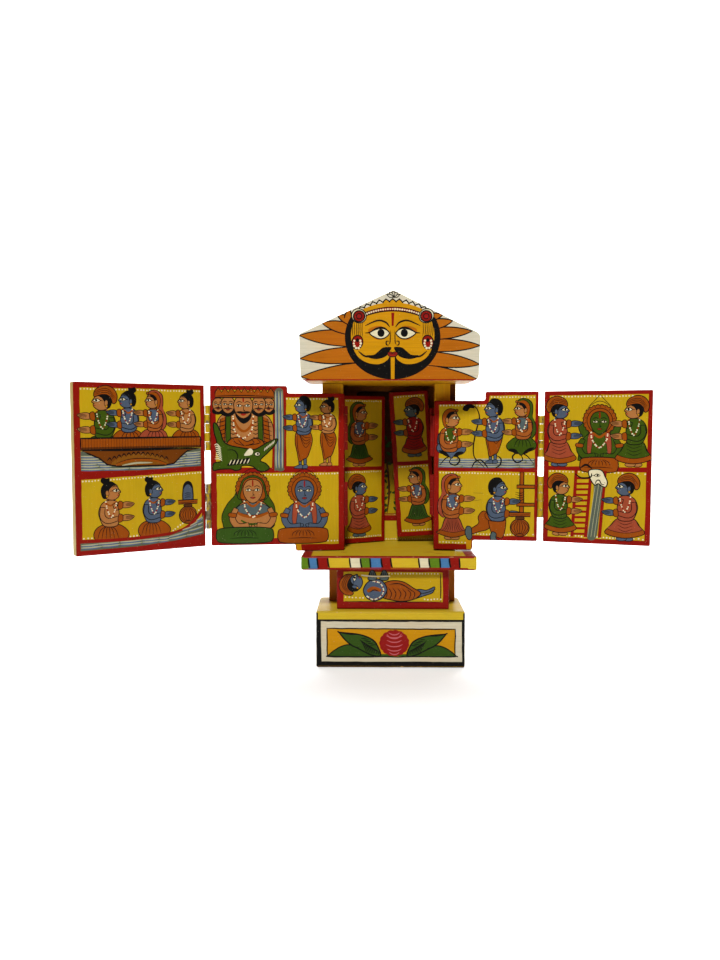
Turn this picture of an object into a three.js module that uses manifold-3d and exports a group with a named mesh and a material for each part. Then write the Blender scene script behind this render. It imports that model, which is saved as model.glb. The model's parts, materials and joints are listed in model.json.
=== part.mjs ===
// Folding shrine box: a painted wooden house shrine on a plinth, with two folding doors of
// two panels each, two inner leaves in the shrine and a drawer under the ledge.
// Millimetres. X runs to the right, Y away from the front, Z up. The origin is the middle of
// the plinth's underside. The doors stand open and the drawer is pulled out, as it is shown.
import * as THREE from 'three';
import { mergeVertices } from 'three/addons/utils/BufferGeometryUtils.js';
import Module from 'manifold-3d';

const wasm = await Module();
wasm.setup();

// --- Driving dimensions ---------------------------------------------------------------------
const BOARD = 11.5;            // stock of the doors, posts and side walls
const THIN_BOARD = 6.5;        // stock of the inner leaves and the back panel
const GAP = 0.3;               // running clearance between pieces that turn or meet at a slant

const FRONT = -67;             // front plane of the plinth, the ledge and the roof
const SHOULDER = 5;            // where the wide front blocks step in to the box behind
const BACK = 67;               // back plane of the whole shrine
const BODY_FRONT = -15;        // front plane of the posts and the neck

const PLINTH = { left: -74.5, right: 74.5, low: 0, high: 57 };
const NECK = { left: -64, right: 69, low: PLINTH.high, high: 98.5, cheek: 9.5, back: 7 };
const LEDGE = { left: -89.5, right: 86, low: NECK.high, high: 112.5 };
const BODY = { left: -70.75, right: 68.75, low: LEDGE.high, high: 286.5 };
const OPENING = { left: -49, right: 47 };
const ROOF = { left: -90.5, right: 87.5, soffit: BODY.high, eaves: 332, ridge: 374.5, ridgeX: 2 };

const STEP_TOP = 142.5;        // top of the altar step at the back of the shrine
const STEP_FRONT = 49;
const SANCTUM = { left: -36, right: 27, high: 281, front: 50.5, stock: 5 };

const DRAWER = { pulled: 42, side: 6, bottom: 3, length: 72, clear: 0.5, sideDrop: 5 };

// Panels: width from the hinge edge, low and high ends of the part beside the hinge and of the
// part beyond the steps, and the distance of each step from the hinge edge.
const DOOR_LEFT = {
  width: 136.5, inner: [113, 275.5], outer: [120, 283], stepLow: 50.5, stepHigh: 58.5,
};
const WING_LEFT = { width: 129.5, inner: [120, 283] };
const DOOR_RIGHT = {
  width: 105.5, inner: [114, 268], outer: [124.5, 277], stepLow: 40, stepHigh: 52,
};
const WING_RIGHT = { width: 103.5, inner: [124.5, 277] };
const LEAF_LEFT = { width: 55.5, inner: [113.5, 275] };
const LEAF_RIGHT = { width: 43, inner: [121, 282] };

// How the panels stand: the angle of each from the front plane, towards the viewer.
const DOOR_LEFT_ANGLE = 8.4;
const WING_LEFT_BEND = 26;
const DOOR_RIGHT_ANGLE = 8;
const WING_RIGHT_BEND = 11.2;
const LEAF_LEFT_ANGLE = 29.5;
const LEAF_RIGHT_LEAN = 3.6;

// Butt hinges: knuckle radius, plate thickness, distance from pin to board, plate width.
const BUTT = { radius: 2.2, plate: 1, reach: 2.5, width: 8.4, clear: 2.6 };
const SMALL = { radius: 1.8, plate: 0.8, reach: 2, width: 4.4, clear: 2.2 };
const KNUCKLES = 5;
const PIN_PROUD = 0.6;         // pin in front of a painted face, so two panels fold face to face
const LEFT_HINGES = [[137.5, 183.5], [217, 263]];
const RIGHT_HINGES = [[149, 191], [210.5, 252.5]];
const LEAF_HINGES = [[136, 166], [232, 262]];

// Pins that stand on the shrine itself.
const DOOR_PIN_Y = BODY_FRONT - 0.35;
const DOOR_PIN_IN = BUTT.reach + GAP;
const LEAF_LEFT_PIN = { x: -54.3, y: 13.2 };
const LEAF_RIGHT_PIN = { x: 50.3, y: 37.4, z: 200 };

// --- Finishes -------------------------------------------------------------------------------
const paint = (color, roughness = 0.45) =>
  new THREE.MeshStandardMaterial({ color, roughness, metalness: 0 });
const YELLOW = paint(0xc8a514);
const RED = paint(0x8b1a0a);
const CREAM = paint(0xe1d7be);
const DARK_YELLOW = paint(0x8a5a12, 0.55);
const HINGE_METAL = new THREE.MeshStandardMaterial({ color: 0xa98a3c, roughness: 0.5, metalness: 0.6 });

// --- Solids ---------------------------------------------------------------------------------
function toSolid(geometry) {
  const bare = geometry.clone();
  bare.deleteAttribute('normal');
  bare.deleteAttribute('uv');
  const merged = mergeVertices(bare, 1e-4);
  return new wasm.Manifold(new wasm.Mesh({
    numProp: 3,
    vertProperties: Float32Array.from(merged.attributes.position.array),
    triVerts: Uint32Array.from(merged.index.array),
  }));
}

function toGeometry(solid) {
  const mesh = solid.getMesh();
  const geometry = new THREE.BufferGeometry();
  geometry.setAttribute('position', new THREE.BufferAttribute(mesh.vertProperties, 3));
  geometry.setIndex(new THREE.BufferAttribute(mesh.triVerts, 1));
  geometry.computeVertexNormals();
  return geometry;
}

function join(geometries) {
  const solids = geometries.map(toSolid);
  return toGeometry(solids.reduce((whole, solid) => whole.add(solid)));
}

// A box between two corners, given as [low, high] along each axis in any order.
function block(x, y, z) {
  const size = (pair) => Math.abs(pair[1] - pair[0]);
  const middle = (pair) => (pair[0] + pair[1]) / 2;
  const geometry = new THREE.BoxGeometry(size(x), size(y), size(z));
  return geometry.translate(middle(x), middle(y), middle(z));
}

// A closed outline whose corners are rounded: each corner is [x, y, radius].
function roundedOutline(corners) {
  const shape = new THREE.Shape();
  const point = (index) => new THREE.Vector2(...corners[(index + corners.length) % corners.length]);
  corners.forEach(([x, y, radius], index) => {
    const corner = new THREE.Vector2(x, y);
    const arrive = point(index - 1).sub(corner).setLength(radius).add(corner);
    const leave = point(index + 1).sub(corner).setLength(radius).add(corner);
    if (index === 0) {
      shape.moveTo(arrive.x, arrive.y);
    } else {
      shape.lineTo(arrive.x, arrive.y);
    }
    shape.quadraticCurveTo(corner.x, corner.y, leave.x, leave.y);
  });
  shape.closePath();
  return shape;
}

// A slab cut to an outline in plan, between two heights, with softened edges.
function slabInPlan(corners, low, high, soft) {
  const geometry = new THREE.ExtrudeGeometry(roundedOutline(corners), {
    depth: high - low - 2 * soft,
    bevelThickness: soft,
    bevelSize: soft,
    bevelOffset: -soft,
    bevelSegments: 2,
    curveSegments: 3,
  });
  return geometry.translate(0, 0, low + soft);
}

// A board cut to an outline of widths and heights, running back from `front` by `thickness`.
function boardUpright(corners, front, thickness) {
  const geometry = new THREE.ExtrudeGeometry(roundedOutline(corners), {
    depth: thickness,
    bevelEnabled: false,
    curveSegments: 3,
  });
  return geometry.rotateX(Math.PI / 2).translate(0, front + thickness, 0);
}

function degrees(angle) {
  return THREE.MathUtils.degToRad(angle);
}

// --- The scene graph ------------------------------------------------------------------------
const shrine = new THREE.Group();

function place(name, geometry, material, parent = shrine) {
  const mesh = new THREE.Mesh(geometry, material);
  mesh.name = name;
  parent.add(mesh);
  return mesh;
}

function turnedGroup(parent, x, y, z, turn) {
  const group = new THREE.Group();
  group.position.set(x, y, z);
  group.rotation.z = degrees(turn);
  parent.add(group);
  return group;
}

// --- Blocks and boards of the shrine --------------------------------------------------------
// The plan that the plinth and the ledge share: a wide front, stepped in to the box behind.
function steppedPlan(wide, narrow, cornerRadius) {
  return [
    [wide.left, FRONT, cornerRadius],
    [wide.right, FRONT, cornerRadius],
    [wide.right, SHOULDER, 5],
    [narrow.right, SHOULDER, 0.5],
    [narrow.right, BACK, 2],
    [narrow.left, BACK, 2],
    [narrow.left, SHOULDER, 0.5],
    [wide.left, SHOULDER, 5],
  ];
}

function makePlinth() {
  const plan = steppedPlan(PLINTH, NECK, 2);
  place('plinth', slabInPlan(plan, PLINTH.low, PLINTH.high, 1.5), YELLOW);
}

function makeNeck() {
  const { left, right, low, high, cheek, back } = NECK;
  place('neck_cheek_left', block([left, left + cheek], [BODY_FRONT, BACK], [low, high]), YELLOW);
  place('neck_cheek_right', block([right - cheek, right], [BODY_FRONT, BACK], [low, high]), YELLOW);
  place('neck_back', block([left + cheek, right - cheek], [BACK - back, BACK], [low, high]), YELLOW);
}

function makeLedge() {
  place('ledge', slabInPlan(steppedPlan(LEDGE, BODY, 3), LEDGE.low, LEDGE.high, 1.5), RED);
}

function makeWalls() {
  const heights = [BODY.low, BODY.high];
  const postDepth = [BODY_FRONT, BODY_FRONT + BOARD];
  const wallDepth = [BODY_FRONT + BOARD, BACK];
  place('post_left', block([BODY.left, OPENING.left], postDepth, heights), YELLOW);
  place('post_right', block([OPENING.right, BODY.right], postDepth, heights), YELLOW);
  place('wall_left', block([BODY.left, BODY.left + BOARD], wallDepth, heights), RED);
  place('wall_right', block([BODY.right - BOARD, BODY.right], wallDepth, heights), RED);
}

function makeSanctum() {
  const inside = [BODY.left + BOARD, BODY.right - BOARD];
  const backFront = BACK - THIN_BOARD;
  place('back_panel', block(inside, [backFront, BACK], [BODY.low, BODY.high]), RED);
  place('altar_step', block(inside, [STEP_FRONT, backFront], [BODY.low, STEP_TOP]), YELLOW);
  const frameOutline = [
    [inside[0], STEP_TOP, 0.2],
    [SANCTUM.left, STEP_TOP, 0.2],
    [SANCTUM.left, SANCTUM.high, 5],
    [SANCTUM.right, SANCTUM.high, 5],
    [SANCTUM.right, STEP_TOP, 0.2],
    [inside[1], STEP_TOP, 0.2],
    [inside[1], BODY.high, 0.2],
    [inside[0], BODY.high, 0.2],
  ];
  const frame = boardUpright(frameOutline, SANCTUM.front, SANCTUM.stock);
  place('sanctum_frame', frame, DARK_YELLOW);
}

// The gabled roof block: full width in front, cut back to the width of the box behind it.
function makeRoof() {
  const { left, right, soffit, eaves, ridge, ridgeX } = ROOF;
  const gable = boardUpright([
    [left + 1.5, soffit, 6],
    [right - 1.5, soffit, 6],
    [right, eaves, 4],
    [ridgeX, ridge, 2],
    [left, eaves, 2],
  ], FRONT, BACK - FRONT);
  const frontHalf = block([left - 1, right + 1], [FRONT, SHOULDER], [soffit, ridge]);
  const rearHalf = block([BODY.left, BODY.right], [SHOULDER - 1, BACK], [soffit, ridge]);
  const kept = toSolid(frontHalf).add(toSolid(rearHalf));
  place('roof', toGeometry(toSolid(gable).intersect(kept)), CREAM);
}

// --- Drawer ---------------------------------------------------------------------------------
function makeDrawer() {
  const left = NECK.left + NECK.cheek + DRAWER.clear;
  const right = NECK.right - NECK.cheek - DRAWER.clear;
  const low = NECK.low + DRAWER.clear;
  const high = NECK.high - DRAWER.clear;
  const front = BODY_FRONT - DRAWER.pulled;
  const inFront = front + BOARD;
  const back = front + DRAWER.length;
  const inBack = back - DRAWER.side;
  const inLeft = left + DRAWER.side;
  const inRight = right - DRAWER.side;
  const sideHeights = [low, high - DRAWER.sideDrop];
  place('drawer_front', block([left, right], [front, inFront], [low, high]), RED);
  place('drawer_side_left', block([left, inLeft], [inFront, back], sideHeights), YELLOW);
  place('drawer_side_right', block([inRight, right], [inFront, back], sideHeights), YELLOW);
  place('drawer_back', block([inLeft, inRight], [inBack, back], sideHeights), YELLOW);
  const bottom = block([inLeft, inRight], [inFront, inBack], [low, low + DRAWER.bottom]);
  place('drawer_bottom', bottom, YELLOW);
}

// --- Hinges ---------------------------------------------------------------------------------
// All the hinge solids are made about a pin on the Z axis.
function knuckle(size, low, high) {
  const barrel = new THREE.CylinderGeometry(size.radius, size.radius, high - low, 12);
  return barrel.rotateX(Math.PI / 2).translate(0, 0, (low + high) / 2);
}

// The heights of the knuckles that belong to the fixed plate (the odd places in the row of
// five) or to the moving plate (the even places).
function knuckleHeights([low, high], moving) {
  const pitch = (high - low) / KNUCKLES;
  const heights = [];
  for (let turn = moving ? 1 : 0; turn < KNUCKLES; turn += 2) {
    heights.push([low + turn * pitch + GAP / 2, low + (turn + 1) * pitch - GAP / 2]);
  }
  return heights;
}

// A plate on the end of a board that starts at `reach` on the +X or -X side of the pin. The
// plate runs to +Y or -Y, and a tab at each knuckle ties the two together.
function hingePlate(size, heights, moving, sideX, sideY) {
  const outer = sideX * size.reach;
  const inner = sideX * (size.reach - size.plate);
  const parts = [block([inner, outer], [sideY * size.clear, sideY * (size.clear + size.width)], heights)];
  knuckleHeights(heights, moving).forEach(([low, high]) => {
    parts.push(knuckle(size, low, high));
    parts.push(block([inner, outer], [0, sideY * (size.clear + 0.5)], [low, high]));
  });
  return join(parts);
}

// The fixed half of a small hinge: a plate on a wall that stands off from the pin, with a flange
// from the plate to each knuckle. `lean` turns the plate upright when the pin leans.
function wallPlate(size, heights, wallX, lean) {
  const side = Math.sign(wallX);
  const face = wallX - side * GAP;
  const inner = face - side * size.plate;
  const middle = (heights[0] + heights[1]) / 2;
  const plate = block([inner, face], [-6, 0.4], heights);
  plate.translate(0, 0, -middle).rotateY(-degrees(lean)).translate(0, 0, middle);
  const parts = [plate];
  knuckleHeights(heights, false).forEach(([low, high]) => {
    const drift = -Math.tan(degrees(lean)) * ((low + high) / 2 - middle);
    parts.push(knuckle(size, low, high));
    parts.push(block([side * 0.5, inner + drift + side * 0.4], [-0.4, 0.4], [low, high]));
  });
  return join(parts);
}

const HINGE_PLACES = ['lower', 'upper'];

// A pair of butt hinges. `fixed` and `moving` each say which group holds the plate and on which
// side of the pin its board lies.
function buttHinges(name, rows, fixed, moving) {
  rows.forEach((heights, index) => {
    const hinge = `hinge_${name}_${HINGE_PLACES[index]}`;
    const still = hingePlate(BUTT, heights, false, fixed.sideX, fixed.sideY);
    place(`${hinge}_fixed`, still, HINGE_METAL, fixed.group);
    const turning = hingePlate(BUTT, heights, true, moving.sideX, moving.sideY);
    place(`${hinge}_moving`, turning, HINGE_METAL, moving.group);
  });
}

// --- Doors ----------------------------------------------------------------------------------
// A panel in its own frame: the pin on the Z axis, the board running along +X from `start`, and
// its back at `backY`, with the painted face on the side of `face`.
function panelOutline(panel, start) {
  const { width, inner, outer, stepLow, stepHigh } = panel;
  const end = start + width;
  const soft = 1.2;
  if (!outer) {
    return [
      [start, inner[0], soft], [end, inner[0], soft], [end, inner[1], soft], [start, inner[1], soft],
    ];
  }
  const lowStep = start + stepLow;
  const highStep = start + stepHigh;
  return [
    [start, inner[0], soft],
    [lowStep, inner[0], 2.5],
    [lowStep, outer[0], 2],
    [end, outer[0], soft],
    [end, outer[1], soft],
    [highStep, outer[1], 2.5],
    [highStep, inner[1], 2],
    [start, inner[1], soft],
  ];
}

function panelBoard(panel, start, thickness, backY, face) {
  const front = face > 0 ? backY : backY - thickness;
  return boardUpright(panelOutline(panel, start), front, thickness);
}

// A folding door: a door panel on the post and a wing on the door's outer edge. `side` is 1 for
// the left door, whose painted face is on the +Y side of its own frame, and -1 for the right.
function foldingDoor(name, side, door, wing, angle, bend, rows) {
  const postEdge = side > 0 ? OPENING.left : OPENING.right;
  const pinX = postEdge + side * DOOR_PIN_IN;
  const postFrame = turnedGroup(shrine, pinX, DOOR_PIN_Y, 0, 0);
  const direction = side > 0 ? 180 + angle : -angle;
  const doorFrame = turnedGroup(shrine, pinX, DOOR_PIN_Y, 0, direction);
  place(`door_${name}`, panelBoard(door, DOOR_PIN_IN, BOARD, 0, side), RED, doorFrame);
  buttHinges(
    `door_${name}`, rows,
    { group: postFrame, sideX: -side, sideY: 1 },
    { group: doorFrame, sideX: 1, sideY: side },
  );

  const foldX = DOOR_PIN_IN + door.width + DOOR_PIN_IN;
  const foldY = side * (BOARD + PIN_PROUD);
  const foldFrame = turnedGroup(doorFrame, foldX, foldY, 0, 0);
  const wingFrame = turnedGroup(doorFrame, foldX, foldY, 0, side * bend);
  const wingBack = -side * (BOARD + PIN_PROUD);
  place(`wing_${name}`, panelBoard(wing, DOOR_PIN_IN, BOARD, wingBack, side), RED, wingFrame);
  buttHinges(
    `wing_${name}`, rows,
    { group: foldFrame, sideX: -1, sideY: -side },
    { group: wingFrame, sideX: 1, sideY: -side },
  );
}

// --- Inner leaves ---------------------------------------------------------------------------
// `face` is 1 where the painted face is on the +Y side of the leaf's own frame. The leaf's pin
// stands PIN_PROUD in front of the painted face, and may lean in the plane of the wall.
function innerLeaf(name, leaf, pin, direction, face, wallX, lean) {
  const pinFrame = new THREE.Group();
  pinFrame.position.set(pin.x, pin.y, pin.z);
  pinFrame.rotation.y = -degrees(lean);
  shrine.add(pinFrame);
  const leafFrame = turnedGroup(pinFrame, 0, 0, 0, direction);
  const drop = (heights) => heights.map((height) => height - pin.z);
  const sized = { width: leaf.width, inner: drop(leaf.inner) };
  const leafBack = -face * (THIN_BOARD + PIN_PROUD);
  const board = panelBoard(sized, SMALL.reach + GAP, THIN_BOARD, leafBack, face);
  place(`leaf_${name}`, board, RED, leafFrame);
  LEAF_HINGES.forEach((row, index) => {
    const heights = drop(row);
    const middle = (heights[0] + heights[1]) / 2;
    const toWall = wallX - pin.x + Math.tan(degrees(lean)) * middle;
    const hinge = `hinge_leaf_${name}_${HINGE_PLACES[index]}`;
    place(`${hinge}_fixed`, wallPlate(SMALL, heights, toWall, -lean), HINGE_METAL, pinFrame);
    const turning = hingePlate(SMALL, heights, true, 1, -face);
    place(`${hinge}_moving`, turning, HINGE_METAL, leafFrame);
  });
}

// --- Assembly -------------------------------------------------------------------------------
makePlinth();
makeNeck();
makeLedge();
makeWalls();
makeSanctum();
makeRoof();
makeDrawer();
foldingDoor('left', 1, DOOR_LEFT, WING_LEFT, DOOR_LEFT_ANGLE, WING_LEFT_BEND, LEFT_HINGES);
foldingDoor('right', -1, DOOR_RIGHT, WING_RIGHT, DOOR_RIGHT_ANGLE, WING_RIGHT_BEND, RIGHT_HINGES);
innerLeaf('left', LEAF_LEFT, { ...LEAF_LEFT_PIN, z: 0 }, LEAF_LEFT_ANGLE, -1, BODY.left + BOARD, 0);
innerLeaf('right', LEAF_RIGHT, LEAF_RIGHT_PIN, 180, 1, BODY.right - BOARD, LEAF_RIGHT_LEAN);

export default shrine;
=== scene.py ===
# Folding shrine box: the painted wood, the pictures and the hinges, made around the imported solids.
# Pieces are in metres in the shared frame. Pictures are drawn in millimetres on their own face,
# measured from the lower left corner of that face's bounding box.
import json
import math

import bmesh
import bpy
import numpy as np
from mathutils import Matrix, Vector
from mathutils.geometry import delaunay_2d_cdt


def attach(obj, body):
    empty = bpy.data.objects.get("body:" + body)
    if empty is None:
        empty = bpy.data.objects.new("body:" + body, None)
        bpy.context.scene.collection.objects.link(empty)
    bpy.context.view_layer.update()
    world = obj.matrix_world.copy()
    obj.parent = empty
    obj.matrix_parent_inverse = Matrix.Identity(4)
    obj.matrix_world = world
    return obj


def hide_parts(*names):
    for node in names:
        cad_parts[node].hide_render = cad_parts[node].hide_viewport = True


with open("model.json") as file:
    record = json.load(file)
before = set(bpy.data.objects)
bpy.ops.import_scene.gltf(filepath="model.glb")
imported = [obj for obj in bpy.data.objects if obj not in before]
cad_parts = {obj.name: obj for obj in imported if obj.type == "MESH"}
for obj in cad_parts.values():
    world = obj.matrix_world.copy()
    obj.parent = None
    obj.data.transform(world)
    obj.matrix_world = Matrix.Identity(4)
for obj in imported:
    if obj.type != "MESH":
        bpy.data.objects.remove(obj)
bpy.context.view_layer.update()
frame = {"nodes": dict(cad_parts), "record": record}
NODES = frame["nodes"]
RECORD = frame["record"]
MM = 0.001

BODY_OF = {node: body for body, nodes in RECORD["behaviour"]["bodies"].items() for node in nodes}
HINGE_AXIS = {joint["child"]: Vector(joint["axis"]) for joint in RECORD["behaviour"]["joints"]
              if joint["type"] == "hinge"}
LEFT, RIGHT = Vector((-1, 0, 0)), Vector((1, 0, 0))
FRONT, BEHIND = Vector((0, -1, 0)), Vector((0, 1, 0))
UP = Vector((0, 0, 1))

PEN = 1.45                             # how much heavier a thin drawn line is than its named width
THIN = 1.3                             # strokes narrower than this, in millimetres, are thin lines
HAND_STEP = 7.0                        # the length in which a hand draws a straight side
FLAT = math.radians(0.5)               # faces that turn less than this are one face
SHARP = math.radians(35)               # edges that turn more than this are rounded
FACING = 0.7                           # the cosine from which a face looks in a direction
SAME_WAY = 0.999                       # the cosine from which two faces look the same way
ROOM_FOR_CORNER = 2.4                  # corner radii that a face next to a rounded corner has to hold

brush = np.random.default_rng(11)      # every small wander of a painted edge comes from here


# --- Paints ------------------------------------------------------------------------------------
def shade(red, green, blue):
    """A paint given in sRGB steps of 0 to 255, as linear colour and full opacity."""
    steps = np.array([red, green, blue]) / 255
    linear = np.where(steps <= 0.04045, steps / 12.92, ((steps + 0.055) / 1.055) ** 2.4)
    return tuple(linear) + (1.0,)


BLACK = shade(10, 8, 7)
WHITE = shade(200, 190, 156)
PLASTER = shade(186, 178, 156)
CREAM = shade(186, 176, 150)
RED = shade(122, 14, 4)
YELLOW = shade(168, 137, 14)
BRIGHT_YELLOW = shade(182, 154, 32)
PALE_YELLOW = shade(178, 152, 78)
# painted light: the posts' yellow, mixed lighter than the doors' to make up for light the roof's shadow keeps
# off them
LIT_POST_YELLOW = shade(204, 150, 22)
GOLD = shade(178, 124, 4)
# painted shade: the neck's yellow mixed down to a dark ochre for its recess under the ledge
SHADED_NECK_OCHRE = shade(156, 88, 14)
# a dark paint in the pictures, and also the sanctum frame's yellow in painted shade
DARK_GOLD = shade(116, 68, 10)
ORANGE = shade(132, 62, 4)
PETAL = shade(156, 86, 8)
UMBER = shade(78, 37, 5)
TEAK = shade(98, 49, 4)
GREEN = shade(50, 69, 6)
GRASS = shade(80, 110, 18)
LEAF_GREEN = shade(44, 70, 16)
SKIN = shade(150, 97, 50)
TAN = shade(140, 74, 26)
BLUE = shade(65, 76, 92)
SLATE = shade(68, 80, 80)
BRIGHT_BLUE = shade(60, 104, 146)
WATER = shade(76, 82, 66)
RIPPLE = shade(70, 86, 116)
FOAM = shade(148, 146, 116)
PINK = shade(136, 60, 36)
ROSE = shade(128, 18, 14)
BLUSH = shade(172, 84, 88)
BROWN = shade(72, 38, 12)
LIP = shade(134, 26, 14)
METAL = shade(150, 138, 112)


# --- Lines and outlines ------------------------------------------------------------------------
def smooth(points, closed=True, samples=4):
    """A Catmull-Rom curve through the points."""
    points = np.asarray(points, float)
    if closed:
        a, b, c, d = (np.roll(points, shift, axis=0) for shift in (1, 0, -1, -2))
    else:
        ends = np.vstack([2 * points[0] - points[1], points, 2 * points[-1] - points[-2]])
        a, b, c, d = ends[:-3], ends[1:-2], ends[2:-1], ends[3:]
    t = (np.arange(samples) / samples)[:, None, None]
    curve = 0.5 * (2 * b + (c - a) * t + (2 * a - 5 * b + 4 * c - d) * t**2
                   + (3 * b - a - 3 * c + d) * t**3)
    curve = curve.transpose(1, 0, 2).reshape(-1, 2)
    return curve if closed else np.vstack([curve, points[-1:]])


def oval(x, y, across, up=None, turn=0, steps=14):
    """Points round an ellipse; `turn` is in degrees."""
    angle = np.arange(steps) / steps * math.tau
    up = across if up is None else up
    ring = np.stack([across * np.cos(angle), up * np.sin(angle)], axis=1)
    c, s = math.cos(math.radians(turn)), math.sin(math.radians(turn))
    return ring @ np.array([[c, s], [-s, c]]) + (x, y)


def arc(x, y, across, up, start, end, steps=12):
    """Points along part of an ellipse, between two angles in degrees."""
    angle = np.radians(np.linspace(start, end, steps))
    return np.stack([x + across * np.cos(angle), y + up * np.sin(angle)], axis=1)


def wander(points, amount=0.28):
    """A straight-sided outline as a hand draws it: in short lengths that stray a little."""
    points = [np.array(p, float) for p in points]
    drawn = []
    for start, end in zip(points, points[1:] + points[:1]):
        lengths = max(1, round(np.linalg.norm(end - start) / HAND_STEP))
        for length in range(lengths):
            drawn.append(start + (end - start) * length / lengths + brush.uniform(-amount, amount, 2))
    return np.array(drawn)


def mirrored(half):
    """A whole outline from one half of it: its points off the middle line come again, mirrored."""
    return half + [(-x, y) for x, y in half[::-1] if x]


def side_step(line, closed):
    """The unit vector to the left of a line at each of its points."""
    if closed:
        along = np.roll(line, -1, axis=0) - np.roll(line, 1, axis=0)
    else:
        along = np.gradient(line, axis=0)
    length = np.maximum(np.linalg.norm(along, axis=1, keepdims=True), 1e-9)
    along = along / length
    return np.stack([-along[:, 1], along[:, 0]], axis=1)


# --- Pictures ----------------------------------------------------------------------------------
class Picture:
    """Flat shapes in the order they are painted. `place` takes drawing units to millimetres."""

    def __init__(self, shapes=None, place=None):
        self.shapes = [] if shapes is None else shapes
        self.place = np.eye(3) if place is None else place
        self.unit = math.sqrt(abs(np.linalg.det(self.place[:2, :2])))

    def at(self, x, y, unit=1.0, flip=False, turn=0.0):
        """The same picture drawn from another origin, at another size, mirrored or turned."""
        c, s = math.cos(math.radians(turn)), math.sin(math.radians(turn))
        side = -1 if flip else 1
        step = np.array([[side * unit * c, -side * unit * s, x], [unit * s, unit * c, y], [0, 0, 1]])
        return Picture(self.shapes, self.place @ step)

    def put(self, loops, colour):
        placed = [np.asarray(loop) @ self.place[:2, :2].T + self.place[:2, 2] for loop in loops]
        self.shapes.append((placed, colour))

    def sides(self):
        """This picture and its mirror image, for what is drawn on both sides."""
        return self, self.at(0, 0, 1, True)

    def block(self, points, colour, line=0.0):
        """A shape whose edge runs straight from point to point."""
        loop = np.asarray(points, float)
        self.put([loop], colour)
        if line:
            self.outline(loop, line)

    def fill(self, points, colour, line=0.0):
        """A rounded shape through the points."""
        self.block(smooth(points), colour, line)

    def outline(self, loop, width):
        """A closed black line. Widths of lines are always in millimetres."""
        half = side_step(loop, True) * width * PEN / 2 / self.unit
        self.put([loop + half, (loop - half)[::-1]], BLACK)

    def stroke(self, points, width, ink=BLACK, blunt=0.3, curved=True):
        """A brush stroke that swells in the middle; `blunt` is how wide its ends stay."""
        line = smooth(points, False) if curved else np.asarray(points, float)
        swell = blunt + (1 - blunt) * np.sin(np.pi * np.linspace(0, 1, len(line))) ** 0.6
        pen = PEN if width < THIN else 1.0
        half = side_step(line, False) * (swell * width * pen / 2 / self.unit)[:, None]
        self.put([np.vstack([line + half, (line - half)[::-1]])], ink)

    def limb(self, points, width, colour):
        """An arm or a leg: an even band with an outline. Its width is in drawing units."""
        middle = smooth(points, False)
        swell = 0.8 + 0.2 * np.sin(np.pi * np.linspace(0, 1, len(middle)))
        half = side_step(middle, False) * (swell * width / 2)[:, None]
        self.block(np.vstack([middle + half, (middle - half)[::-1]]), colour, 0.55)

    def beads(self, points, count, radius, colours=(WHITE,), stray=0.0):
        """Dots at even steps along a curve, their paints taking turns. The radius is in millimetres."""
        line = smooth(points, False, 8)
        run = np.concatenate([[0], np.cumsum(np.linalg.norm(np.diff(line, axis=0), axis=1))])
        for index, place in enumerate(np.linspace(0, run[-1], count)):
            x = np.interp(place, run, line[:, 0]) + brush.uniform(-stray, stray)
            y = np.interp(place, run, line[:, 1]) + brush.uniform(-stray, stray)
            size = radius / self.unit * brush.uniform(0.85, 1.12)
            self.put([oval(x, y, size, size, steps=7)], colours[index % len(colours)])


def dot_rows(p, rows):
    """The rows of white dots that run along the edges of a painted field."""
    for start, end in rows:
        dot_row(p, start, end)


def dot_row(p, start, end, spacing=2.9):
    length = math.dist(start, end)
    middle = ((start[0] + end[0]) / 2, (start[1] + end[1]) / 2 + brush.uniform(-0.4, 0.4))
    p.beads([start, middle, end], max(2, round(length / spacing)), 0.8, stray=0.25)


def field(p, corners, colour=YELLOW):
    p.block(wander(corners), colour)


def water(p, outline, rows):
    """Grey-green water with broad strokes of white and blue along it. `rows` are (left, right, y, rise)."""
    p.block(outline, WATER)
    below = 1.15                       # from a white stroke down to the blue one under it
    for left, right, y, rise in rows:
        x = left
        while x < right - 3:
            reach = min(right, x + brush.uniform(14, 26))
            high = y + rise * (x - left) / max(right - left, 1) + brush.uniform(-0.2, 0.2)
            ends = high + rise * (reach - x) / max(right - left, 1)
            sag = (high + ends) / 2 - 0.3
            p.stroke([(x, high), ((x + reach) / 2, sag), (reach, ends)], 1.3, FOAM, 0.6)
            p.stroke([(x, high - below), ((x + reach) / 2, sag - below), (reach - 1, ends - below)], 0.7,
                     RIPPLE, 0.5)
            x = reach + brush.uniform(-0.6, 1.0)


# --- Figures -----------------------------------------------------------------------------------
# A figure in profile faces right. Its unit is the radius of its head, whose middle is at 0, 0.
def eye(p, x, y, unit):
    e = p.at(x, y, unit)
    e.fill([(-1, 0), (-0.1, 0.55), (1.05, 0.05), (0.1, -0.42)], WHITE, 0.35)
    e.block(oval(0.18, 0.08, 0.36, 0.38, steps=10), BLACK)
    e.stroke([(-1.9, -0.12), (-0.9, 0.12), (0, 0.6), (1.15, 0.1)], 0.5)


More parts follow.
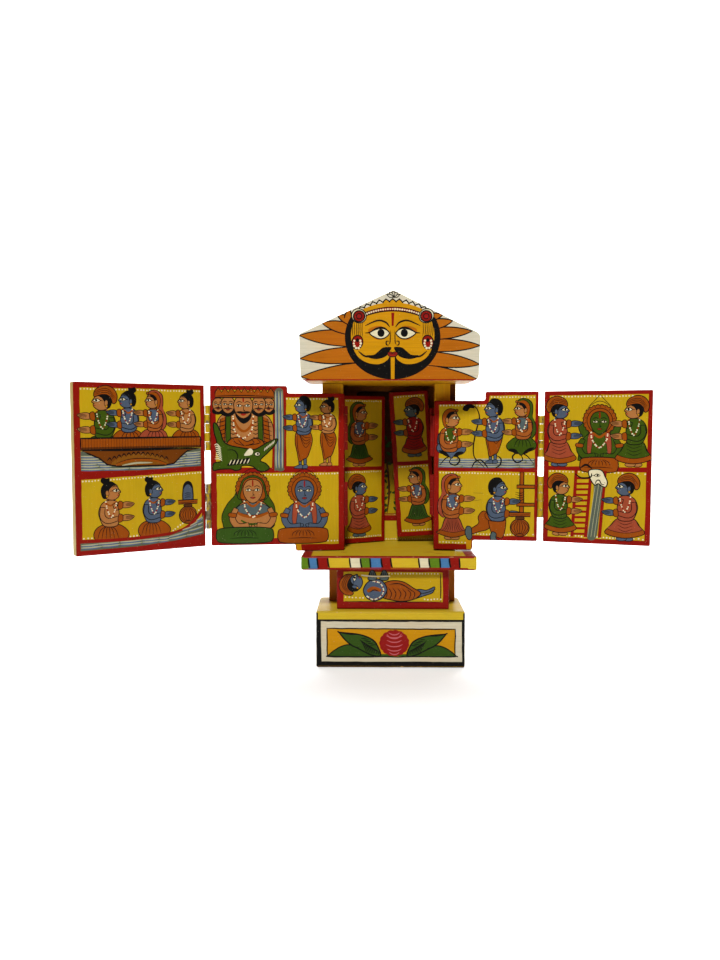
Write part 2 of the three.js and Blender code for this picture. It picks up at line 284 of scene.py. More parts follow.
def profile(p, skin, hair):
    """The head: a round face with a small pointed nose, one large eye and an ear."""
    face = [(-0.8, -0.5), (-0.98, 0.1), (-0.65, 0.74), (0.05, 1.0), (0.62, 0.76), (0.84, 0.34),
            (1.1, -0.04), (0.9, -0.2), (0.95, -0.36), (0.78, -0.66), (0.32, -0.92), (-0.3, -0.86)]
    p.fill(face, skin, 0.6)
    eye(p, 0.55, 0.1, 0.36)
    p.stroke([(0.1, 0.48), (0.52, 0.64), (0.86, 0.42)], 0.5)
    p.stroke([(0.66, -0.4), (0.94, -0.4)], 0.6, LIP)
    p.stroke([(0.78, -0.12), (0.86, -0.24), (0.98, -0.14)], 0.35)
    HAIR[hair](p)
    p.block(oval(-0.42, -0.16, 0.2, 0.34, 8, 10), skin, 0.4)
    p.block(oval(-0.46, -0.5, 0.13, 0.13, 0, 8), GOLD, 0.3)


def bun(p):
    p.fill([(0.6, 0.78), (0.2, 0.62), (-0.15, 0.3), (-0.3, -0.1), (-0.5, -0.7), (-0.9, -0.72),
            (-1.14, -0.1), (-1.05, 0.6), (-0.55, 1.1), (0.1, 1.16)], BLACK)
    p.fill([(-0.75, 0.85), (-1.15, 1.2), (-0.95, 1.62), (-0.5, 1.5), (-0.15, 1.55), (-0.2, 1.05)], BLACK)


def cropped(p):
    p.fill([(0.5, 0.86), (0.2, 0.66), (-0.15, 0.34), (-0.3, -0.1), (-0.5, -0.7), (-0.9, -0.74), (-1.2, -0.1),
            (-1.12, 0.7), (-0.6, 1.26), (0.15, 1.32)], BLACK)


def turban(p):
    p.fill([(0.42, 0.62), (0.0, 0.35), (-0.3, -0.2), (-0.5, -0.7), (-0.85, -0.6), (-1.05, 0.1),
            (-0.7, 0.8), (0.1, 0.95)], BLACK)
    p.fill([(0.82, 0.5), (0.8, 1.05), (0.35, 1.5), (-0.45, 1.72), (-1.2, 1.42), (-1.62, 0.7),
            (-1.5, -0.05), (-1.12, -0.2), (-0.95, 0.35), (-0.5, 0.72), (0.2, 0.7)], ORANGE, 0.6)
    for lift in (0.25, 0.5, 0.75):
        p.stroke([(0.78, 0.6 + lift * 0.5), (0.1, 0.75 + lift * 0.75), (-0.7, 0.7 + lift * 0.8),
                  (-1.12 - lift * 0.4, 0.1 + lift * 0.4)], 0.42)


def veil_band(p):
    p.fill([(0.45, 0.78), (0.05, 0.4), (-0.2, 0.0), (-0.4, -0.5), (-0.7, -0.3), (-0.6, 0.6), (0.0, 1.0)],
           BLACK)
    p.fill([(0.72, 0.78), (0.45, 1.12), (-0.3, 1.18), (-0.85, 0.7), (-1.0, 0.0), (-0.8, -0.8),
            (-0.45, -1.1), (-0.55, -0.4), (-0.5, 0.25), (-0.15, 0.72), (0.35, 0.86)], ORANGE, 0.5)
    p.block(oval(0.72, 1.0, 0.17, 0.17, 0, 8), ORANGE, 0.45)


HAIR = {"bun": bun, "cropped": cropped, "turban": turban, "veil": veil_band}


def hand(p, x, y, skin):
    """A hand held out flat, with a cuff at the wrist."""
    h = p.at(x, y)
    h.fill([(0.2, -0.22), (0.6, -0.34), (1.2, -0.26), (1.62, 0.06), (1.5, 0.22), (0.9, 0.36),
            (0.4, 0.3)], skin, 0.5)
    for lift in (-0.1, 0.05, 0.18):
        h.stroke([(0.62, lift * 0.6), (1.1, lift), (1.5, 0.04 + lift * 0.5)], 0.4)
    h.fill([(-0.22, -0.42), (0.26, -0.34), (0.3, 0.32), (-0.14, 0.42)], ORANGE, 0.5)


def garland(p):
    top, low, width = -1.1, -2.85, 0.56
    p.beads([(-width - 0.04, top), (-width * 0.8, (top + low) / 2), (0, low), (width * 0.8, (top + low) / 2),
             (width + 0.04, top)], 17, 0.78, (WHITE, RED, WHITE))


TORSO = [(-0.35, -0.95), (-1.05, -1.3), (-1.42, -2.2), (-1.25, -3.1), (-0.75, -3.85), (0.6, -3.85),
         (0.86, -3.0), (0.85, -2.0), (0.75, -1.25), (0.25, -0.95)]


def upper_body(p, skin, dress, blouse):
    """Torso, two arms held out and a garland. `dress` paints the sleeves and the body."""
    cloth = dress or (TAN if blouse else skin)
    p.fill(TORSO, cloth, 0.6)
    if blouse:
        p.fill([(-0.5, -1.2), (0.55, -1.2), (0.6, -2.4), (-0.1, -2.7), (-0.75, -2.3)], blouse, 0.4)
        p.stroke([(-0.9, -1.25), (-1.05, -2.2), (-0.6, -3.1), (0.4, -3.2)], 1.5, ORANGE, 0.6)
    elif dress is None:
        p.stroke([(-0.7, -1.15), (-0.1, -1.55), (0.5, -1.15)], 1.7, ORANGE, 0.5)
    p.limb([(0.35, -1.35), (0.6, -1.85), (0.95, -1.6)], 0.5, cloth)
    hand(p, 1.0, -1.55, skin)
    p.limb([(-0.95, -1.7), (-1.0, -2.7), (-0.4, -3.25), (0.8, -3.02)], 0.62, cloth)
    hand(p, 0.98, -3.0, skin)
    garland(p)


def folds(p, x, y, reach, drop, count):
    """Drawn folds fanning down from one point."""
    for index in range(count):
        side = (index - (count - 1) / 2) / (count - 1) * 2
        p.stroke([(x + side * 0.15, y), (x + side * reach * 0.7, y - drop * 0.3),
                  (x + side * reach, y - drop)], 0.5)


def cushion_seat(p):
    """A kneeling figure's wrapped cloth, round as a cushion."""
    p.fill([(-0.9, -3.65), (-1.75, -4.1), (-2.0, -4.9), (-1.4, -5.75), (0.0, -6.0), (1.4, -5.7),
            (2.0, -4.85), (1.5, -4.1), (0.6, -3.65)], ORANGE, 0.6)
    folds(p, -0.4, -3.8, 1.2, 1.5, 6)


def low_seat(p, colour):
    """A seated figure's cloth, cut off below by what it sits in."""
    p.fill([(-0.8, -3.6), (-1.6, -3.95), (-1.9, -4.6), (-1.9, -5.1), (1.7, -5.1), (1.85, -4.5),
            (1.3, -3.85), (0.6, -3.6)], colour, 0.55)
    folds(p, -0.3, -3.75, 1.2, 1.2, 5)


def flared_skirt(p, colour, hem, spread):
    """A pleated skirt with an orange border, from the waist to `hem`, and two feet below it."""
    for x in (-0.45, 0.3):
        p.block(oval(x, hem - 0.25, 0.55, 0.24, 0, 10), SKIN, 0.5)
    p.fill([(-0.75, -3.7), (0.6, -3.7), (spread * 0.75, hem * 0.6 - 1.6), (spread * 1.05, hem + 0.35),
            (0, hem - 0.2), (-spread * 1.05, hem + 0.35), (-spread * 0.75, hem * 0.6 - 1.6)], ORANGE, 0.6)
    p.fill([(-0.72, -3.75), (0.58, -3.75), (spread * 0.72, hem * 0.6 - 1.5), (spread * 0.9, hem + 0.75),
            (0, hem + 0.4), (-spread * 0.9, hem + 0.75), (-spread * 0.72, hem * 0.6 - 1.5)], colour, 0.4)
    for side in np.linspace(-0.85, 0.85, 9):
        p.stroke([(side * 0.6, -3.9), (side * spread * 0.55, (hem - 3.9) / 2),
                  (side * spread * 0.86, hem + 0.55)], 0.42)


def short_robe(p, colour, hem, feet, spread):
    """A robe gathered at the waist and spread below it, with an orange border."""
    for x in (-0.4, 0.35):
        p.block(oval(x, hem - 0.35, 0.6, 0.26, 0, 10), feet, 0.5)
    p.fill([(-0.95, -3.6), (0.7, -3.6), (spread * 0.8, hem + 1.2), (spread * 1.1, hem + 0.25),
            (0, hem - 0.25), (-spread * 1.1, hem + 0.3), (-spread * 0.85, hem + 1.2)], ORANGE, 0.6)
    p.fill([(-0.95, -3.62), (0.7, -3.62), (spread * 0.74, hem + 1.3), (spread * 0.94, hem + 0.75),
            (0, hem + 0.35), (-spread * 0.95, hem + 0.75), (-spread * 0.78, hem + 1.3)], colour, 0.4)
    for drop in (0.35, 0.75, 1.15):
        p.stroke([(-0.9, -3.7 - drop), (0, -4.0 - drop), (0.8, -3.65 - drop)], 0.42)


def wrapped_legs(p, skin):
    """A standing figure's dhoti, drawn in to the ankles, with bare feet."""
    for x in (-0.35, 0.35):
        p.limb([(x, -7.4), (x, -8.5)], 0.42, skin)
        p.fill([(x - 0.2, -8.45), (x + 0.6, -8.7), (x + 0.85, -8.98), (x - 0.3, -9.0)], skin, 0.45)
    p.fill([(-0.85, -3.8), (0.75, -3.8), (1.05, -5.2), (0.75, -6.8), (0.5, -8.0), (-0.2, -7.7),
            (-0.75, -7.3), (-1.35, -5.4), (-1.3, -4.4)], ORANGE, 0.6)
    for drop in (0.3, 0.75, 1.2, 1.7):
        p.stroke([(0.6, -3.9), (-0.35, -4.35 - drop), (-1.2, -4.5 - drop * 0.4)], 0.45)
    p.stroke([(0.75, -4.2), (0.7, -6.0), (0.3, -7.8)], 0.45)


def fish_tail(p, colour):
    """A river figure's scaled cloth, ending in a black curling tail."""
    p.stroke([(-1.4, -6.9), (-0.6, -6.0), (0.5, -5.6), (1.2, -6.2), (0.7, -6.9), (-0.1, -6.6), (0.1, -5.9)],
             1.1)
    p.fill([(-0.9, -3.6), (-1.8, -4.4), (-1.6, -5.2), (-0.4, -5.6), (0.1, -6.0), (0.6, -5.6), (1.6, -5.4),
            (2.0, -4.7), (1.3, -3.9), (0.6, -3.6)], colour, 0.6)
    p.fill([(-1.6, -5.0), (-0.9, -5.05), (-0.2, -5.6), (-0.6, -5.75)], BLACK)
    p.fill([(1.7, -5.2), (0.9, -5.15), (0.4, -5.7), (0.8, -5.8)], BLACK)
    folds(p, -0.1, -3.8, 1.1, 1.1, 5)


def long_veil(p, colour):
    """A veil from the crown of the head down the back."""
    p.fill([(0.6, 1.0), (0.2, 1.38), (-0.6, 1.35), (-1.25, 0.8), (-1.35, -0.2), (-1.3, -1.0), (-1.75, -2.0),
            (-1.7, -3.2), (-1.0, -3.8), (-0.7, -2.4), (-0.6, -0.8), (-0.2, 0.5)], colour, 0.6)


def figure(p, skin, hair, lower, dress=None, blouse=None, veil=None):
    """A whole figure in profile; `lower` draws what it wears below the waist."""
    if veil:
        long_veil(p, veil)
    lower(p)
    p.fill([(-0.45, -0.6), (0.4, -0.7), (0.35, -1.25), (-0.55, -1.25)], skin)
    upper_body(p, skin, dress, blouse)
    profile(p, skin, hair)
    if veil:
        p.stroke([(0.55, 1.05), (-0.4, 1.3), (-1.1, 0.6), (-1.15, -0.6), (-1.5, -2.0), (-1.3, -3.2)], 1.6,
                 veil)


# A figure seen from the front. Its unit is half the width of its face.
def front_face(p, skin, mark=True):
    p.fill(mirrored([(0, 1.2), (0.62, 1.0), (0.96, 0.35), (0.86, -0.4), (0.5, -0.95), (0, -1.18)]), skin, 0.6)
    for half in p.sides():
        eye(half, 0.42, 0.12, 0.27)
        half.stroke([(0.1, 0.42), (0.42, 0.56), (0.78, 0.36)], 0.55)
    p.stroke([(0.06, 0.15), (0.02, -0.25), (0.16, -0.38), (-0.1, -0.4)], 0.5)
    p.fill([(-0.26, -0.62), (0, -0.56), (0.26, -0.62), (0, -0.74)], LIP, 0.3)
    if mark:
        p.stroke([(0, 1.12), (0, 0.5)], 1.0, RED, 0.8)


def scalloped(x, y, across, up, count, depth=0.07):
    angle = np.arange(count * 6) / (count * 6) * math.tau
    edge = 1 + depth * np.abs(np.sin(angle * count / 2))
    return np.stack([x + across * edge * np.cos(angle), y + up * edge * np.sin(angle)], axis=1)


def halo(p):
    """A scalloped orange halo with a pointed outline over it."""
    p.stroke([(-1.5, 1.25), (-0.8, 1.95), (0, 2.3), (0.8, 1.95), (1.5, 1.25)], 0.5)
    p.block(scalloped(0, 0.3, 1.62, 1.55, 24), ORANGE, 0.6)
    p.outline(oval(0, 0.25, 1.3, 1.3, steps=24), 0.5)
    for turn in range(-100, 101, 20):
        p.at(0, 0.25, 1, False, turn).stroke([(0.06, 1.36), (0, 1.58)], 0.4)


def seated_front(p, skin, seat, reach=2.7, shift=0.0, scarf=None, veil=None, blouse=None):
    """A figure seated facing front on a long cushion, its hands at its lap."""
    if veil:
        p.fill([(0, 1.9), (1.1, 1.5), (1.5, 0.4), (1.6, -0.5), (2.15, -1.5), (2.2, -2.9), (1.6, -3.8),
                (-2.4, -3.8), (-3.0, -3.2), (-3.05, -2.3), (-2.5, -1.2), (-1.8, -0.4), (-1.5, 0.5),
                (-1.1, 1.5)], veil, 0.6)
    halo(p)
    if veil:
        p.fill([(0, 1.62), (0.95, 1.2), (1.25, 0.3), (1.3, -0.8), (-1.35, -0.8), (-1.3, 0.3), (-0.95, 1.2)],
               veil, 0.5)
        p.fill(mirrored([(0, 1.42), (0.8, 1.1), (1.08, 0.3), (1.1, -0.8)]), ORANGE, 0.5)
    p.fill(mirrored([(-0.4, -0.8), (-1.3, -1.3), (-2.0, -2.1), (-2.1, -3.1), (-1.5, -3.85)]), skin, 0.6)
    if blouse:
        p.fill([(-1.3, -1.4), (0, -1.1), (1.3, -1.4), (1.6, -2.0), (0, -2.4), (-1.6, -2.0)], blouse, 0.4)
        p.stroke([(-2.0, -1.8), (-1.0, -2.4), (0.4, -2.55), (1.9, -2.0)], 3.0, ORANGE, 0.6)
        p.stroke([(-1.2, -2.9), (-0.4, -3.3), (0.9, -3.2)], 2.2, veil, 0.6)
    if scarf:
        for half in p.sides():
            half.fill([(0.55, -1.05), (1.1, -1.2), (1.25, -2.8), (0.95, -3.6), (0.75, -2.4)], scarf, 0.35)
    for half in p.sides():
        half.limb([(1.65, -1.7), (2.05, -2.7), (1.5, -3.5), (0.4, -3.4)], 0.62, skin)
        half.fill([(1.65, -2.25), (2.35, -2.15), (2.4, -2.5), (1.75, -2.6)], ORANGE, 0.5)
        half.stroke([(0.9, -3.7), (0.3, -3.62), (0.1, -3.3), (0.5, -3.2)], 0.5)
    p.stroke([(-0.7, -1.0), (0, -1.5), (0.7, -1.0)], 2.4, ORANGE, 0.6)
    p.beads([(-0.85, -1.0), (-0.72, -1.8), (0, -2.6), (0.72, -1.8), (0.85, -1.0)], 23, 0.85,
            (WHITE, RED, WHITE))
    front_face(p, skin)
    p = p.at(shift, 0)
    p.fill([(-reach, -4.25), (-reach * 0.86, -3.72), (0, -3.6), (reach * 0.86, -3.72), (reach, -4.25),
            (reach * 0.98, -4.85), (reach * 0.8, -5.15), (0, -5.25), (-reach * 0.8, -5.15),
            (-reach * 0.98, -4.85)], seat, 0.65)
    for side in np.linspace(-0.9, 0.9, 7):
        p.stroke([(side * 0.5, -3.85), (side * 1.1, -4.15), (side * 1.25, -4.5)], 0.5)
    p.stroke([(-1.5, -4.72), (0, -4.66), (1.4, -4.74)], 0.5)


# --- The painted scenes ------------------------------------------------------------------------
def left_wing_front(p):
    """A boat with four figures; below, two kneeling figures before a ribbed pot beside a stream."""
    field(p, [(5.2, 79.5), (124.4, 81.5), (124.2, 157.4), (5.2, 157.2)])
    field(p, [(5.2, 13.6), (124.6, 12.5), (124.4, 76.0), (5.2, 71.0)])
    dot_rows(p, (((6.4, 155.7), (123.6, 155.9)), ((6.4, 69.3), (124.0, 74.4)),
                       ((6.4, 15.6), (18, 15.4)), ((51, 14.8), (70, 15.3)), ((94, 17.6), (124, 38))))
    water(p, [(5, 79.2), (60, 78.4), (124.4, 81), (124.4, 99), (5, 97.6)],
          [(5.4, 34, y, 0) for y in (81, 83.4, 85.8, 88.2, 90.6, 93)]
          + [(86, 124, y, 2) for y in (81.6, 84, 86.4, 88.8, 91.2, 93.6)] + [(30, 90, 80.8, 0.5)])
    scene = ((25.9, 144.2, 8.9, SKIN, "turban", GREEN, None, None),
             (50, 145.8, 7.8, BLUE, "bun", None, None, None),
             (75.4, 145.4, 7.5, SKIN, "veil", None, BLUE, PINK),
             (108.8, 145.4, 7.6, SKIN, "bun", None, None, None))
    for x, y, unit, skin, hair, dress, blouse, veil in scene:
        cloth = dress or veil or ORANGE
        figure(p.at(x, y, unit, True), skin, hair, lambda q, c=cloth: low_seat(q, c), dress, blouse, veil)
    p.block([(5.4, 98.6), (124, 98.8), (110, 96.6), (103, 91), (96, 84.4), (84, 82.6), (42, 82.6),
            (30, 84.6), (22, 91), (12, 95.4)], TEAK, 1.0)
    p.fill([(34, 86), (44, 92.5), (62, 94.6), (80, 92.5), (90, 86), (84, 84), (40, 84)], DARK_GOLD)
    for step in np.linspace(0, 1, 13):
        x, y = 32 + 56 * step, 89.6 + 5.2 * math.sin(math.pi * step)
        p.stroke([(x - 2.2, y - 1.4), (x - 0.6, y + 1), (x + 0.6, y + 1), (x + 2.2, y - 1.4)], 0.85)
    p.stroke([(38, 84), (50, 88), (64, 88.8), (78, 87.4), (88, 83.6)], 2.2, ORANGE, 0.6)
    p.stroke([(38, 85.4), (50, 89.2), (64, 90), (78, 88.6), (88, 85)], 0.55)
    p.stroke([(44, 83.6), (58, 85.6), (74, 85.6)], 1.2, FOAM)
    p.block(wander([(5.2, 99), (124.3, 100.4), (124.3, 110.4), (5.2, 109.6)], 0.15), ORANGE, 0.9)
    p.block([(5.4, 99.2), (124, 100.6), (124, 102.4), (5.4, 101.2)], UMBER)
    for x in np.linspace(7, 122.6, 44):
        p.stroke([(x, 99.6), (x + brush.uniform(-0.3, 0.3), 109.6)], 0.65, curved=False)
    p.stroke([(5, 98.4), (60, 97.9), (124, 99.4)], 0.9)
    p.stroke([(5, 110), (60, 109.9), (124, 110.8)], 1.2)
    for x, y, unit, skin in ((32.8, 58.7, 8.5, SKIN), (75.2, 58.8, 8.2, BLUE)):
        figure(p.at(x, y, unit), skin, "bun", cushion_seat)
    p.fill([(105.4, 46), (105, 58), (106.8, 64), (110.2, 66), (113.6, 64), (115.2, 58), (114.8, 46)], BLUE,
           0.8)
    p.fill([(105.1, 58), (106.8, 64), (110.2, 66), (113.6, 64), (115.1, 58), (112, 62.4), (108.4, 62.4)],
           BLACK)
    for y in (50, 52, 54):
        p.stroke([(106.5, y), (110, y + 0.4), (113.6, y)], 0.5)
    churn_pot(p.at(110, 32.4), 9.3)
    p.stroke([(3, 13.4), (40, 12.2), (90, 14.4), (112, 22), (126.4, 38)], 3.4, RED, 0.9)
    water(p, [(3.2, 4.2), (60, 4.6), (96, 7.4), (126.6, 12), (126.6, 31.5), (112, 19.5), (92, 13.2),
              (50, 10.4), (3.2, 11.4)], [(4, 90, y, 1.6) for y in (7, 9.4)]
          + [(90, 125.5, y, rise) for y, rise in ((9.6, 4.4), (12, 7.6))]
          + [(104, 125.5, 17.4, 6.4), (112, 125.5, 21.4, 6.6), (119, 125.5, 26.4, 3)])


def churn_pot(p, radius):
    """A round ribbed pot under a narrow tray."""
    r = radius
    p.block(oval(0, 0, r, r * 0.95, 0, 20), ORANGE, 0.7)
    for side in np.linspace(-0.9, 0.9, 7):
        p.stroke([(side * 2, r * 0.85), (side * r * 1.0, 0.5), (side * 3, -r * 0.85)], 0.5)
    p.stroke([(-r * 0.4, -r * 0.75), (0, -r * 0.6), (r * 0.4, -r * 0.75)], 0.6)
    p.fill([(-4, r * 0.9), (-3, r * 1.25), (3, r * 1.25), (4, r * 0.9)], BROWN, 0.5)
    p.block([(-r * 1.08, r * 1.2), (r * 1.08, r * 1.2), (r * 1.12, r * 1.62), (-r * 1.12, r * 1.62)], ORANGE,
            0.7)
    p.stroke([(-r, r * 1.4), (0, r * 1.36), (r, r * 1.42)], 0.5)


def left_door_front(p):
    """The many-headed king, the fall of water, two standing figures and the seated pair."""
    field(p, [(5, 86.2), (61, 85.8), (63.4, 164.4), (5, 164.6)])
    field(p, [(76, 87.2), (129.4, 87.6), (129.8, 157.2), (76, 157.6)])
    field(p, [(5.4, 13.4), (84, 13), (85.5, 6.2), (129.6, 6), (129.8, 80.8), (5.2, 80)])
    p.block([(83, 7.4), (90.6, 6.6), (91.4, 0.2), (83, 0.2)], GOLD)
    dot_rows(p, (((77, 156), (128.4, 156)), ((6.4, 78.4), (128.8, 79.4)), ((93, 7.6), (128.6, 9.6))))
    water_fall(p)
    many_headed_king(p)
    crocodile(p)
    figure(p.at(92.6, 149, 7.6, True), BLUE, "cropped", lambda q: wrapped_legs(q.at(0, 0.2, 0.96), BLUE))
    figure(p.at(118, 147.6, 6.9, True), SKIN, "bun", lambda q: wrapped_legs(q.at(0, 0.1, 0.98), SKIN))
    seated_front(p.at(41.5, 61.6, 10.2), SKIN, LEAF_GREEN, 2.85, -0.8, veil=GREEN, blouse=SLATE)
    seated_front(p.at(94.4, 60.6, 10.2), BLUE, ORANGE, 2.55, -0.15, scarf=PINK)


def water_fall(p):
    """A rounded column of water that spills over the bar at its foot."""
    p.fill([(64.2, 160), (65.6, 165.4), (68.8, 167.2), (72, 165.4), (73.2, 160), (73.9, 120), (73.2, 88),
            (74, 84), (70.6, 81.8), (66.2, 83), (63.6, 85.4), (64.4, 120)], WATER)
    for index, x in enumerate((65.5, 67.0, 68.6, 70.2, 71.8)):
        for low, high in ((85, 106), (102, 126), (122, 146), (142, 164)):
            ink, width = (FOAM, 1.3) if index % 2 == 0 else (RIPPLE, 0.8)
            p.stroke([(x, low), (x + brush.uniform(-0.4, 0.4), (low + high) / 2), (x, high)], width, ink)


def many_headed_king(p):
    """A crowned king with a row of heads, many arms and a garland."""
    p.fill([(8, 136), (18, 141), (48, 141), (59, 136), (63, 122), (57, 107), (14, 107), (6, 122)], SKIN, 0.6)
    for half in p.at(33.5, 0).sides():
        half.block([(13.6, 140), (18.4, 139), (18.8, 112), (14, 110)], GREEN, 0.5)
        half.block([(18.8, 138), (24, 135), (26, 112), (20, 110)], ORANGE, 0.5)
        for drop in range(6):
            half.stroke([(8.6, 133 - drop * 4), (11.4, 132 - drop * 4), (13.6, 133 - drop * 4)], 0.7)
            half.stroke([(19, 134 - drop * 4.2), (22, 132.8 - drop * 4.2), (28, 131.6 - drop * 4.4)], 0.6)
    p.fill([(16, 107), (19, 114.6), (28, 116.8), (36, 112.6), (44, 115.8), (52, 113), (52, 106), (34, 102)],
           ORANGE, 0.7)
    for x in (22, 27, 40, 46):
        p.stroke([(x, 115), (x + 3, 111), (33.5, 108)], 0.6)
    for x, unit, lean in ((7.4, 6.0, 1), (17.2, 7.2, 1), (58.2, 6.2, -1), (48.2, 7.2, -1)):
        face = p.at(x, 149.4, unit, lean < 0)
        face.fill([(-0.8, -0.6), (-0.95, -1.3), (0, -1.62), (0.9, -1.2), (0.8, -0.6)], BLACK)
        front_face(face, SKIN, False)
        face.stroke([(-0.7, -0.55), (0, -0.42), (0.7, -0.55)], 1.3)
    face = p.at(32.6, 147.6, 9.9)
    face.fill([(-0.8, -0.6), (-0.6, -1.25), (0.03, -1.72), (0.7, -1.25), (0.8, -0.6), (0, -0.2)], BLACK)
    front_face(face, SKIN)
    face.fill([(-0.75, -0.5), (-0.3, -0.42), (0, -0.48), (0.3, -0.42), (0.75, -0.5), (0.4, -0.68),
               (-0.4, -0.68)], BLACK)
    face.fill([(-0.3, -0.74), (0, -0.68), (0.3, -0.74), (0, -0.9)], LIP)
    p.stroke([(23, 136), (27, 127), (33, 123), (39, 127), (43, 136)], 2.6, ORANGE, 0.5)
    p.beads([(22.2, 138), (24, 123), (32, 116), (40.5, 123), (42.6, 138)], 25, 0.85, (WHITE, WHITE, RED))
    crown_edge = [(4.4, 157.2), (4.4, 162.6)]
    for tooth in range(9):
        crown_edge += [(7.6 + tooth * 6.6, 167.0), (11 + tooth * 6.6, 162.4)]
    p.block(crown_edge + [(63.8, 156.8)], ORANGE, 0.85)
    p.stroke([(4.6, 158.6), (33, 159.2), (63.6, 158.2)], 0.7)


def crocodile(p):
    """A green crocodile along the foot of the field, its tail up on the left and its jaws to the right."""
    p.fill([(2.6, 131), (6, 130), (9.6, 122), (12.4, 113), (19, 108.6), (32, 106), (43, 104.4), (50, 107.6),
            (57, 111.6), (66.8, 115.4), (65, 110), (57.6, 101.6), (49.4, 93.4), (54.6, 90.4), (58.6, 85.4),
            (54, 82.2), (47, 82.8), (41, 87.4), (31, 88), (29.4, 84.4), (24, 83), (19.6, 84.6), (9, 84.4),
            (1.8, 83.4), (2.6, 90.6), (9.6, 92.4), (8, 97), (5, 104), (5.6, 112), (3, 122)], GREEN, 0.8)
    p.fill([(54, 106.4), (65.8, 114.6), (60.4, 108.4), (53.6, 102.6)], BLACK)
    for step in np.linspace(0, 1, 7):
        p.stroke([(53.4 + 9 * step, 102.8 + 7 * step), (54.6 + 9.4 * step, 106.4 + 7.5 * step)], 0.55, WHITE)
    for step in np.linspace(0, 1, 8):
        p.stroke([(3.2 + 1.5 * math.sin(3 * step), 109 - 14 * step), (6 + 2 * step, 110 - 15 * step),
                  (9.6 + 1.4 * step, 106 - 13 * step)], 0.65, WHITE)
    p.fill([(16, 88), (22, 94), (31, 94.6), (38.6, 96), (38, 90.4), (29, 89.4)], BLACK)
    for step in np.linspace(0, 1, 6):
        p.stroke([(18 + 18 * step, 89 + step), (20.4 + 18 * step, 94 + step)], 0.7, WHITE)
    p.fill([(33, 98.4), (38.4, 105.4), (42, 103), (40.4, 99)], WHITE)
    p.fill(oval(46.4, 99.8, 2.8, 2.0), WHITE, 0.6)
    p.fill(oval(46.9, 99.9, 1.1), BLACK)
    p.stroke([(16, 104), (23, 103.6), (26.6, 98), (24, 92)], 0.8)


def right_door_front(p):
    """River figures either side of one with a serpent; below, the churning of butter."""
    field(p, [(4.6, 94), (101.6, 94), (101.8, 158.4), (56, 158.2), (54.5, 149.4), (4.4, 149.2)])
    field(p, [(4.6, 5.4), (34.6, 5.6), (36.6, 14.8), (101.8, 14.6), (101.6, 80.6), (4.6, 80.8)])
    p.block([(32.4, 11.4), (38.4, 11.6), (38.4, 0.2), (33.6, 0.2)], GOLD)
    dot_rows(p, (((6, 148.2), (52, 148)), ((57.6, 156.8), (100.4, 156.6)), ((6, 79.4), (86, 78.2)),
                       ((93, 78.6), (100.6, 78.4)), ((36, 16.4), (84, 16.2)), ((94, 16.4), (101, 16.4)),
                       ((6, 7.2), (32, 7))))
    water(p, [(3.6, 84.6), (52, 84.2), (102, 84.8), (101.6, 94.4), (50, 93.6), (4.4, 94.2)],
          [(4.6, 101, y, 0.2) for y in (86.2, 88.6, 91, 93.4)])
    p.fill([(4, 119), (2.8, 112), (4.4, 106), (9, 107), (8, 118)], BLUE, 0.6)
    figure(p.at(16.4, 134.6, 8.7), SKIN, "veil", lambda q: fish_tail(q.at(0, 0.75, 0.9), BLUE), blouse=GREEN)
    p.stroke([(36, 147.4), (41, 147), (44.4, 142), (45.6, 135), (43.6, 127), (41, 116), (39.6, 104), (41, 95),
              (46, 90), (51.4, 84.4)], 1.0)
    p.fill([(28.6, 144), (30, 148), (35, 149.8), (40, 148.4), (40, 145.4), (36, 145.6), (33, 142.4)], BLACK)
    figure(p.at(59.4, 144.4, 8.3, True), BLUE, "cropped", lambda q: wrapped_legs(q.at(0, 0.9, 0.84), BLUE))
    figure(p.at(88.6, 144.2, 7.8, True), SKIN, "veil", lambda q: fish_tail(q, GREEN), blouse=SLATE,
           veil=GREEN)
    for curl in ([(38, 84), (41, 90), (47, 92.6), (52, 88), (55, 84)],
                 [(63, 97.4), (67.6, 94), (67, 88), (62, 84)]):
        p.stroke(curl, 1.1)
    p.stroke([(40, 58.6), (50, 58.4)], 0.7, curved=False)
    p.stroke([(40, 50.4), (48, 51.6)], 0.7, curved=False)
    figure(p.at(19, 66, 8.7), SKIN, "veil", lambda q: flared_skirt(q, PINK, -6, 1.8), blouse=BLUE, veil=PINK)
    for left, right, low, high in ((87, 91, 38, 80.4), (84, 102, 63.8, 67.2), (84, 102, 45.6, 48.8)):
        p.block(wander([(left, low), (right, low), (right, high), (left, high)], 0.1), ORANGE, 0.7)
    for y in (60, 57.6, 55.2, 52.8):
        p.stroke([(82.4, y), (88, y - 1.2), (92, y + 0.6)], 0.55)
    striding_child(p)
    churn_pot(p.at(87.4, 23.4), 9.6)


def striding_child(p):
    """A blue child striding to the right, one leg bent behind."""
    q = p.at(65.4, 63.4, 8.6)
    q.fill([(-0.6, -3.3), (-1.7, -2.7), (-2.35, -3.4), (-2.3, -4.2), (-3.2, -4.9), (-3.1, -5.5), (-2.2, -5.2),
            (-1.2, -4.9), (-0.5, -4.0)], ORANGE, 0.6)
    q.fill([(-3.2, -4.7), (-3.7, -4.6), (-3.9, -5.4), (-3.5, -6.2), (-3.1, -6.0), (-3.1, -5.3)], SLATE, 0.6)
    q.fill([(-1.0, -3.4), (0.7, -3.5), (0.9, -4.4), (0.5, -5.9), (-0.6, -5.5), (-1.0, -4.6)], ORANGE, 0.6)
    q.fill([(-0.7, -5.2), (-0.2, -5.4), (-0.2, -6.0), (0.5, -6.6), (-0.3, -6.7), (-0.9, -6.0)], SLATE, 0.6)
    figure(q, BLUE, "cropped", lambda r: r.fill([(-1.4, -2.9), (-1.2, -3.8), (0.6, -3.9), (0.8, -3.2)],
                                                ORANGE, 0.5))


